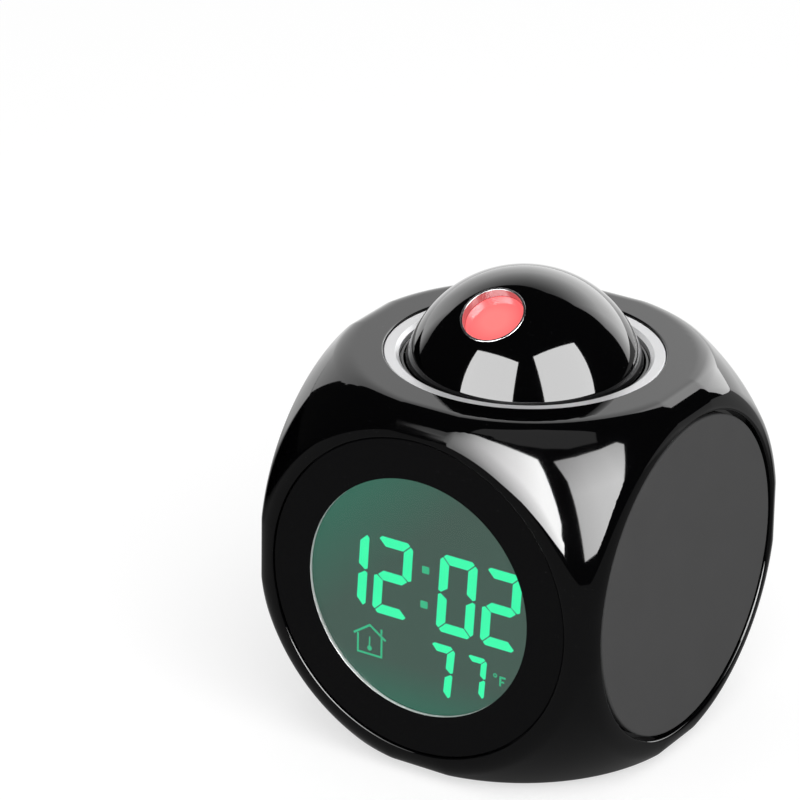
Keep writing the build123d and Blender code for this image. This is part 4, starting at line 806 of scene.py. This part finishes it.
def parting_strip(sheets, column, outward):
    """Flat end of the wall where the two shells meet.

    It joins the outer points of one column of a patch to the inner points opposite them.
    """
    outer = np.concatenate([points[:, column] for points, _ in sheets[:OUTER_SHEETS]])
    inner = np.concatenate([points[:, column] for points, _ in sheets[OUTER_SHEETS:]])[::-1]
    at = np.linspace(0, len(inner) - 1, len(outer)).round().astype(int)
    return strip(outer, inner[at], np.array(outward, float))


def shell_sheets(whole_face, sign):
    """All sheets of the front or the rear shell: one whole face and four half faces."""
    sheets = face_patch(whole_face, 0, 2 * math.pi)
    quarter = math.pi / 2
    starts = {"right": quarter, "left": -quarter, "top": 2 * quarter, "bottom": 0}
    for face, start in starts.items():
        first = start if sign < 0 else start + 2 * quarter
        patch = face_patch(face, first, first + 2 * quarter)
        sheets += patch
        sheets += [parting_strip(patch, end, (0, -sign, 0)) for end in (0, -1)]
    return sheets


for face, sign in (("front", -1), ("rear", 1)):
    build_piece(f"housing_{face}", shell_sheets(face, sign), "housing", [f"{face}_shell"],
                housing_gloss)

# %% [markdown]
# ## Turned profiles
# The discs, rings and trims are round. Each is a profile, a closed line of (radius, height)
# corners with a small rounding at each, that is carried round an axis. Even a crisp moulded
# edge has a rounding of a tenth of a millimetre or so, and that is what catches the light.

# %% Rounded profile and the surface it sweeps
ARC_STEPS = 5


def rounded_profile(corners):
    """Points and outward directions of a closed profile, from (radius, height, rounding).

    At a corner the line leaves one straight run and joins the next along an arc that
    touches both: it starts rounding * tan(half the turn) before the corner.
    """
    corners = np.array(corners, float)
    spots, sizes = corners[:, :2], corners[:, 2]
    area = np.sum(spots[:, 0] * np.roll(spots[:, 1], -1) - np.roll(spots[:, 0], -1) * spots[:, 1])
    if area < 0:
        spots, sizes = spots[::-1], sizes[::-1]
    ahead = unit(np.roll(spots, -1, axis=0) - spots)
    behind = np.roll(ahead, 1, axis=0)
    turn = np.arctan2(behind[:, 0] * ahead[:, 1] - behind[:, 1] * ahead[:, 0],
                      np.sum(behind * ahead, axis=1))
    reach = sizes * np.tan(np.abs(turn) / 2)
    normal = np.stack((behind[:, 1], -behind[:, 0]), -1)
    centre = spots - behind * reach[:, None] - normal * (np.sign(turn) * sizes)[:, None]
    angle = turn[:, None] * np.linspace(0, 1, ARC_STEPS + 1)[None]
    cos, sin = np.cos(angle), np.sin(angle)
    facing = np.stack((cos * normal[:, :1] - sin * normal[:, 1:],
                       sin * normal[:, :1] + cos * normal[:, 1:]), -1)
    points = centre[:, None] + facing * (np.sign(turn) * sizes)[:, None, None]
    points, facing = points.reshape(-1, 2), facing.reshape(-1, 2)
    return np.vstack((points, points[:1])), np.vstack((facing, facing[:1]))


def swept(corners, axes, origin, steps):
    """Profile carried round an axis: axes are the world directions of u, v and the axis."""
    points, facing = rounded_profile(corners)
    ring = around(np.linspace(0, 2 * math.pi, steps + 1))

    def carry(line):
        return third(line[:, None, :1] * ring[None], line[:, None, 1:])

    axes = np.array(axes, float)
    return carry(points) @ axes + np.array(origin), carry(facing) @ axes


def sunk(*corners):
    """Corners (radius, depth below the face, rounding) as heights above the middle."""
    return [(radius, HALF - depth, rounding) for radius, depth, rounding in corners]


def turned_piece(name, corners, node, material, axes=FACE_AXES["front"], body="housing",
                 origin=MIDDLE, steps=192):
    """Piece of one swept profile that stands for one solid."""
    build_piece(name, [swept(corners, axes, origin, steps)], body, [node], material)


# %% Side discs
FACE_INSET = 0.35
DISC_FOOT = FACE_INSET + 1.6
disc = sunk((0, FACE_INSET, 0), (DISC_R, FACE_INSET, 0.45), (DISC_R, DISC_FOOT, 0.05),
            (0, DISC_FOOT, 0))
for side in ("left", "right"):
    turned_piece(f"disc_{side}", disc, f"side_disc_{side}", disc_grey,
                 FACE_AXES[side])

# %% [markdown]
# ## The display's frame
# The bezel is a gloss disc, flush with the face, whose rim has a fine chamfer. Its round
# aperture has a thin lip over a bright ring, whose wall shows as a pale crescent from the
# side. The clear window lies at the foot of that wall, on the glass of the display. Its low
# index stands in for a coating: with it the window mirrors little of the studio.

# %% Bezel, bright ring and window
CHAMFER = 0.28
LIP_FOOT = FACE_INSET + 0.30    # the lip's underside
FIT = 0.05                      # between the bezel and the bright ring
WINDOW_FRONT, WINDOW_BACK = 1.20, 1.70
CLEAR_INDEX = 1.15
bezel = sunk((APERTURE_R, FACE_INSET, 0.12), (BEZEL_R - CHAMFER, FACE_INSET, 0.08),
             (BEZEL_R, FACE_INSET + CHAMFER, 0.08), (BEZEL_R, SEAT_DEPTH, 0.05),
             (TRIM_R + FIT, SEAT_DEPTH, 0.05), (TRIM_R + FIT, LIP_FOOT, 0.03),
             (APERTURE_R, LIP_FOOT, 0.05))
turned_piece("bezel_disc", bezel, "front_bezel", bezel_gloss)
trim = sunk((APERTURE_R, LIP_FOOT + FIT, 0.06), (TRIM_R, LIP_FOOT + FIT, 0.06),
            (TRIM_R, SEAT_DEPTH, 0.05), (APERTURE_R, SEAT_DEPTH, 0.05))
turned_piece("bright_ring", trim, "display_trim", trim_bright)

window_clear, tree, shader = new_material("window_clear", (0.98, 1.0, 0.99), 0.02,
                                          Transmission_Weight=1.0, IOR=CLEAR_INDEX)
vary_roughness(tree, shader, effect(tree, wiped, Wipes=0.6)["Wipes"], 0.015, 0.06)
window_r = APERTURE_R - WINDOW_GAP
window = sunk((0, WINDOW_FRONT, 0), (window_r, WINDOW_FRONT, 0.06),
              (window_r, WINDOW_BACK, 0.06), (0, WINDOW_BACK, 0))
turned_piece("clear_window", window, "display_window", window_clear)

# %% [markdown]
# ## Ring, collar and ball
# The satin ring dishes down towards the ball. Inside it is the edge of the socket, a thin
# gloss collar, and then the ball. The ball is worked out about the lens's own axis, so that
# its grid closes neatly round the lens. It is two halves that meet at its equator.

# %% Satin ring and the socket's collar
ring_bore, ring_inset = RING_R - 3.1, TOP - span("top_ring", 2)[1]
RING_FOOT = 2.4                 # below the top, as all the ring's depths
DISH_FROM, DISH_TOP, DISH_FOOT = 2.30, 0.13, 0.80      # inwards from the edge; below it
ring = sunk((ring_bore, RING_FOOT, 0.05), (RING_R, RING_FOOT, 0.05), (RING_R, ring_inset, 0.25),
            (RING_R - DISH_FROM, ring_inset + DISH_TOP, 0.25),
            (ring_bore, ring_inset + DISH_FOOT, 0.12))
turned_piece("satin_ring", ring, "top_ring", ring_satin, FACE_AXES["top"], steps=240)
BALL_GAP, RING_GAP = 0.25, 0.35
SOCKET_WALL, COLLAR_PLATE, FOOT_PLATE = 1.2, 0.9, 1.4
cup_r, cup_w = BALL_R + BALL_GAP, BALL_MIDDLE[2] - MIDDLE[2]
wall_r, collar_r = cup_r + SOCKET_WALL, ring_bore - RING_GAP
foot_w, collar_w = (height - MIDDLE[2] for height in span("ball_socket", 2))
foot_r = half_width("ball_socket")
cup_rise = collar_w - cup_w
socket = [(cup_r, cup_w, 0.5),
          (math.sqrt(cup_r ** 2 - (cup_rise / 2) ** 2), cup_w + cup_rise / 2, 2.0),
          (math.sqrt(cup_r ** 2 - cup_rise ** 2), collar_w, 0.10), (collar_r, collar_w, 0.16),
          (collar_r, collar_w - COLLAR_PLATE, 0.05), (wall_r, collar_w - COLLAR_PLATE, 0.10),
          (wall_r, foot_w + FOOT_PLATE, 0.05), (foot_r, foot_w + FOOT_PLATE, 0.05),
          (foot_r, foot_w, 0.05), (cup_r, foot_w, 0.05)]
turned_piece("turning_socket", socket, "ball_socket", collar_gloss, FACE_AXES["top"],
             "socket", steps=240)

# %% Ball halves
LENS_TILT = math.radians(32)
LENS_R, LENS_HOLE_R, MOUTH_R = 6.25, 6.85, 11.0
BALL_WALL = 1.8
SEAM = 0.04                     # half of the fine gap between the halves
LENS_AXES = ((1, 0, 0), (0, math.cos(LENS_TILT), math.sin(LENS_TILT)),
             (0, -math.sin(LENS_TILT), math.cos(LENS_TILT)))


def half_ball(sign, hole_r, rows=72, columns=288):
    """Sheets of the half with the lens, sign 1, or of the half with the mouth, sign -1.

    At the turn phi round the lens axis the wall runs from the hole out to the equator,
    which it meets at the angle atan2(cos tilt, -sin tilt cos phi) from the axis. The other
    half is the same shape seen through the middle of the ball.
    """
    phi = np.linspace(0, 2 * math.pi, columns + 1)
    equator = np.arctan2(math.cos(LENS_TILT), -math.sin(LENS_TILT) * np.sin(phi))

    def wall(radius, count):
        start = math.asin(hole_r / radius)
        angle = start + (equator - start) * np.linspace(0, 1, count)[:, None]
        facing = third(np.sin(angle)[..., None] * around(phi), np.cos(angle)[..., None])
        return radius * facing, facing

    outer, inner = wall(BALL_R - SEAM, rows), wall(BALL_R - BALL_WALL, rows // 3)
    axes = np.array(LENS_AXES)
    down = np.array([0.0, 0.0, -1.0]) @ axes.T
    sheets = [outer, (inner[0], -inner[1]),
              strip(outer[0][0], inner[0][0], third(-around(phi), 0.0)),
              strip(outer[0][-1], inner[0][-1], down)]
    shift = BALL_MIDDLE + (0, 0, sign * SEAM)
    return [(sign * p @ axes + shift, sign * np.broadcast_to(n, p.shape) @ axes) for p, n in sheets]


for name, sign, hole_r, node in (("ball_top_half", 1, LENS_HOLE_R, "ball_upper"),
                                 ("ball_bottom_half", -1, MOUTH_R, "ball_lower")):
    build_piece(name, half_ball(sign, hole_r), "ball", [node], ball_gloss)

# %% [markdown]
# ## The lens
# The lens glows coral, because the lamp behind it shines through a red film. The glow is
# strongest in the middle of the pupil. A fine metal rim stands just proud round it.

# %% Lens and rim
PUPIL_R = 3.5                   # where the glow begins to fade
lens_glow, tree, shader = new_material("lens_glow", (0.30, 0.06, 0.06), 0.08, IOR=1.5)
pupil = BALL_MIDDLE + np.array(LENS_AXES[2]) * BALL_R
rim_fade = band(tree, along(tree, pupil * MM, "DISTANCE"), PUPIL_R * MM, LENS_R * MM)
vary_glow(tree, shader, rim_fade, (1.0, 0.190, 0.180), (0.95, 0.110, 0.115))
vary_roughness(tree, shader, effect(tree, wiped, Wipes=0.5)["Wipes"], 0.05, 0.14)

# Heights are above the middle of the ball.
LENS_FOOT, LENS_EDGE, CROWN = 21.8, 22.15, 0.35    # the crown is how far its middle rises
CROWN_R = (LENS_R ** 2 + CROWN ** 2) / (2 * CROWN)
crown_reach = CROWN_R * math.tan(math.asin(LENS_R / CROWN_R) / 2)
lens = [(0, LENS_EDGE + CROWN, 0), (crown_reach, LENS_EDGE + CROWN, CROWN_R - 1.0),
        (LENS_R, LENS_EDGE, 0.08), (LENS_R, LENS_FOOT, 0.05), (0, LENS_FOOT, 0)]
turned_piece("lens_front", lens, "projector_lens", lens_glow, LENS_AXES, "ball",
             BALL_MIDDLE, 96)
RIM_FOOT, RIM_PROUD = 21.75, 0.08
rim_bore, rim_r = LENS_R + 0.05, LENS_R + 0.55
rim_top = math.sqrt(BALL_R ** 2 - rim_r ** 2) + RIM_PROUD
lens_ring = [(rim_bore, RIM_FOOT, 0.05), (rim_r, RIM_FOOT, 0.05), (rim_r, rim_top, 0.16),
             (rim_bore, rim_top, 0.12)]
turned_piece("lens_trim_ring", lens_ring, "lens_rim", lens_trim, LENS_AXES, "ball",
             BALL_MIDDLE, 120)

# %% [markdown]
# ## The figures
# The display shows the time and, below it, two small numbers, a house with a thermometer
# in it and a degree sign. Its figures are bars with pointed ends, as on any display of this
# kind. They are thin plates just in front of the glass, drawn in u and v on the face.

# %% Flat marks
FIGURE_DEPTH = (1.755, 1.785)   # front and back of a mark below the face
FRONT_AXES = np.array(FACE_AXES["front"], float)


def on_display(line):
    """Front and back points, in the world, of a line of points (u, v) on the display."""
    return [third(line, HALF - depth) @ FRONT_AXES + MIDDLE for depth in FIGURE_DEPTH]


def plate(corners, rounding):
    """Sheets of a thin plate with rounded corners, fanned out from its middle."""
    line, facing = rounded_profile([(u, v, rounding) for u, v in corners])
    edges = on_display(line)
    fans = [np.stack((np.broadcast_to(edge[:-1].mean(axis=0), edge.shape), edge))
            for edge in edges]
    return [(fans[0], FRONT_AXES[2]), (fans[1], -FRONT_AXES[2]),
            strip(*edges, third(facing, 0.0) @ FRONT_AXES)]


def ribbon(points, stroke, closed=False):
    """Band of even width along a line, mitred at its corners.

    At a corner the band's edges lie along the sum of the two side directions, lengthened so
    that the width stays the same on both runs.
    """
    points = np.array(points, float)
    if closed:
        points = np.vstack((points, points[:1]))
    ahead = unit(np.diff(points, axis=0))
    before = np.vstack((ahead[-1:] if closed else ahead[:1], ahead))
    after = np.vstack((ahead, ahead[:1] if closed else ahead[-1:]))
    side = np.stack((-(before + after)[:, 1], (before + after)[:, 0]), -1)
    mitre = side / np.sum(side * np.stack((-after[:, 1], after[:, 0]), -1), -1, keepdims=True)
    near, far = (on_display(points + sign * mitre * stroke / 2) for sign in (-1, 1))
    across, out = third(unit(mitre), 0.0) @ FRONT_AXES, FRONT_AXES[2]
    sheets = [strip(near[0], far[0], out), strip(near[1], far[1], -out),
              strip(*near, -across), strip(*far, across)]
    for end, sign in () if closed else ((0, -1), (-1, 1)):
        cap = np.stack([np.stack([edge[end] for edge in line]) for line in (near, far)])
        sheets.append((cap, sign * np.append(ahead[end], 0) @ FRONT_AXES))
    return sheets


def circle(middle, radius, steps=20):
    """Points evenly round a circle."""
    return np.array(middle) + radius * around(np.linspace(0, 2 * math.pi, steps, endpoint=False))


# %% Seven-bar figures
BARS = {"0": "abcdef", "1": "bc", "2": "abdeg", "7": "abc"}
BAR_GAP, CORNER, BAR_ROUNDING = 0.075, 0.55, 0.06       # shares of the stroke


def figure(sign, right, low, width, height, stroke, slant):
    """Bars of one figure that fills a box; right is the u of its right edge at half height.

    The outer bars meet in mitres and their outer corners are cut off. The middle bar is
    pointed at both ends. One upright bar and one level bar are drawn, and the others are
    the same seen in a mirror. Last, each point moves along u by the tangent of the slant
    times its height above the middle.
    """
    w, h, m, s = width, height, height / 2, stroke
    gap, cut = BAR_GAP * s, CORNER * s
    level = np.array([(cut + gap, h), (w - cut - gap, h), (w - cut / 2 - gap, h - cut / 2),
                      (w - s - gap, h - s), (s + gap, h - s), (cut / 2 + gap, h - cut / 2)])
    upright = np.array([(w, h - cut - gap), (w, m + 0.15 * s + gap), (w - 0.3 * s, m + gap),
                        (w - s, m + 0.5 * s + gap), (w - s, h - s - gap),
                        (w - cut / 2, h - cut / 2 - gap)])
    middle = np.array([(0.35 * s + gap, m), (s, m + s / 2), (w - s, m + s / 2),
                       (w - 0.35 * s - gap, m), (w - s, m - s / 2), (s, m - s / 2)])
    shapes = {"a": level, "d": level * (1, -1) + (0, h), "g": middle, "b": upright,
              "c": upright * (1, -1) + (0, h), "f": upright * (-1, 1) + (w, 0),
              "e": upright * (-1, -1) + (w, h)}
    sheets = []
    for name in BARS[sign]:
        u, v = shapes[name].T
        lean = (v - m) * math.tan(math.radians(slant))
        sheets += plate(np.stack((u + lean + right - w, v + low), -1), BAR_ROUNDING * s)
    return sheets


def glowing_marks(name, colour, first, second):
    """Matt material that glows a little unevenly, from the first to the second colour."""
    material, tree, shader = new_material(name, colour, 0.5, Specular_IOR_Level=0.0)
    vary_glow(tree, shader, noise(tree, 0.10, 2.0), first, second)
    return material


TIME_SIZE = (-6.4, 8.75, 17.35, 2.12, 3.0)      # foot, width, height, stroke, slant in degrees
figures = []
for sign, right, *size in (
        ("1", -12.58, *TIME_SIZE), ("2", -2.20, *TIME_SIZE), ("0", 12.98, *TIME_SIZE),
        ("2", 23.33, *TIME_SIZE), ("7", 8.0, -21.5, 6.1, 12.3, 1.75, 5.3),
        ("7", 15.7, -19.1, 4.85, 9.5, 1.34, 4.3)):
    figures += figure(sign, right, *size)
lit_figures = glowing_marks("lit_figures", (0.01, 0.10, 0.05), (0.040, 0.83, 0.37),
                            (0.055, 0.92, 0.42))
build_piece("display_figures", figures, "housing", [], lit_figures)

# %% House, thermometer, colon and degree sign
LINES = [                       # points, then the stroke
    ([(-14.67, -12.15), (-14.67, -16.3), (-9.0, -16.3), (-9.0, -12.0)], 0.42),  # walls
    ([(-15.7, -12.4), (-11.85, -9.75), (-8.0, -12.35)], 0.46),                  # roof
    ([(-9.05, -11.2), (-9.05, -10.0)], 0.42),                                   # chimney
    ([(-11.85, -12.4), (-11.9, -14.4)], 0.3),                                   # thermometer
    ([(19.15, -14.6), (19.2, -12.6), (20.4, -12.6)], 0.42),                     # sign of the scale
    ([(19.45, -13.6), (20.1, -13.6)], 0.36),
]
COLON_DOT = (0.85, 0.8)
marks = [sheet for points, stroke in LINES for sheet in ribbon(points, stroke)]
marks += plate(circle((-11.85, -14.95), 0.55), 0)
marks += ribbon(circle((17.95, -12.5), 0.34), 0.24, closed=True)
for middle in ((1.2, 6.2), (0.95, -1.55)):
    marks += plate(np.array(SQUARE) * COLON_DOT + middle, 0.2)
dim_figures = glowing_marks("dim_figures", (0.01, 0.08, 0.04), (0.040, 0.40, 0.20),
                            (0.050, 0.46, 0.24))
build_piece("display_marks", marks, "housing", [], dim_figures)

# %% [markdown]
# ## The display's ground and the plain parts
# The glass behind the figures is a dim grey green, lit a little unevenly from its edges.
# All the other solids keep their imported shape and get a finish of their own.

# %% Lit ground of the display
UPPER_LEFT = (12, 36)           # from and to, on the line height less u
LOWER = (-16, -27)              # from and to, heights above the middle
lit_ground, tree, shader = new_material("lit_ground", (0.004, 0.008, 0.006), 0.35,
                                        Specular_IOR_Level=0.0)
edges = [band(tree, along(tree, line), *((MIDDLE[2] + end) * MM for end in ends))
         for line, ends in (((-1, 0, 1), UPPER_LEFT), (UP, LOWER))]
vary_glow(tree, shader, math_node(tree, "MAXIMUM", *edges), (0.060, 0.098, 0.082),
          (0.040, 0.140, 0.100))

# %% Circuit boards: paler tracks under green lacquer
board_green, tree, shader = new_material("board_green", (0.015, 0.11, 0.045), 0.35)
tracks = add(tree, "ShaderNodeTexVoronoi", feature="DISTANCE_TO_EDGE")
tracks.inputs["Scale"].default_value = 260.0
link(tree, here(tree), tracks.inputs["Vector"])
track = band(tree, tracks.outputs["Distance"], 0.09, 0.05)
vary_colour(tree, shader, track, (0.012, 0.095, 0.040), (0.035, 0.19, 0.075))
vary_roughness(tree, shader, track, 0.30, 0.42)
raise_surface(tree, shader, track, 0.03)

# %% Sleeved cells, with a copper collar at each end of a sleeve
COLLAR = (0.0135, 0.0140)       # metres from the middle of the clock
cell_sleeve, tree, shader = new_material("cell_sleeve", (0.10, 0.11, 0.13), 0.32, 0.4)
collar = band(tree, math_node(tree, "ABSOLUTE", along(tree, (0, 1, 0))), *COLLAR)
vary_colour(tree, shader, collar, (0.035, 0.037, 0.045), (0.42, 0.25, 0.09))
vary_roughness(tree, shader, effect(tree, grained, Size=3.0)["Shade"], 0.25, 0.40)

FINISHES = {
    lit_ground: ["lcd_panel", "projector_film"],
    milky_plastic: ["light_guide", "backlight_lamps"],
    board_green: ["main_board", "key_board", "projector_board"],
    cell_sleeve: ["battery_cells"],
    lens_glow: ["projector_lamp"],
    rubber_black: ["rubber_feet", "lcd_connector"],
    button_satin: ["mode_button", "set_button", "up_button", "down_button",
                   "projection_switch_knob"],
    panel_satin: ["rear_panel"],
    paper_black: ["speaker_cone"],
    zinc_steel: ["housing_screws", "board_screws", "ball_screws", "pivot_pins", "projector_screws",
                 "carrier_screws", "carrier_springs", "projection_switch", "key_board_screws",
                 "speaker_basket", "speaker_magnet", "base_screws", "battery_contacts",
                 "battery_springs"],
    inner_black: ["lcd_frame", "board_parts", "lens_barrel", "turntable_washer", "press_carrier",
                  "key_switches", "snooze_switch", "temperature_sensor", "base_cover",
                  "battery_door"],
}
for material, names in FINISHES.items():
    for name in names:
        nodes[name].data.materials.clear()
        nodes[name].data.materials.append(material)
print("solids with a finish of their own:", sum(map(len, FINISHES.values())))

# %% Which pieces mirror which sheets of light: the discs and the display mirror none
BALL_PIECES = ("ball_top_half", "ball_bottom_half", "lens_front", "lens_trim_ring")
NOT_MIRRORING = ("disc_left", "disc_right", "bezel_disc", "clear_window", "display_figures",
                 "display_marks", "lcd_panel")
for piece in scene.objects:
    if piece.type == "MESH" and piece.name not in (*STAGE, *NOT_MIRRORING):
        group = seen_in_ball if piece.name in BALL_PIECES else seen_in_body
        group.objects.link(piece)
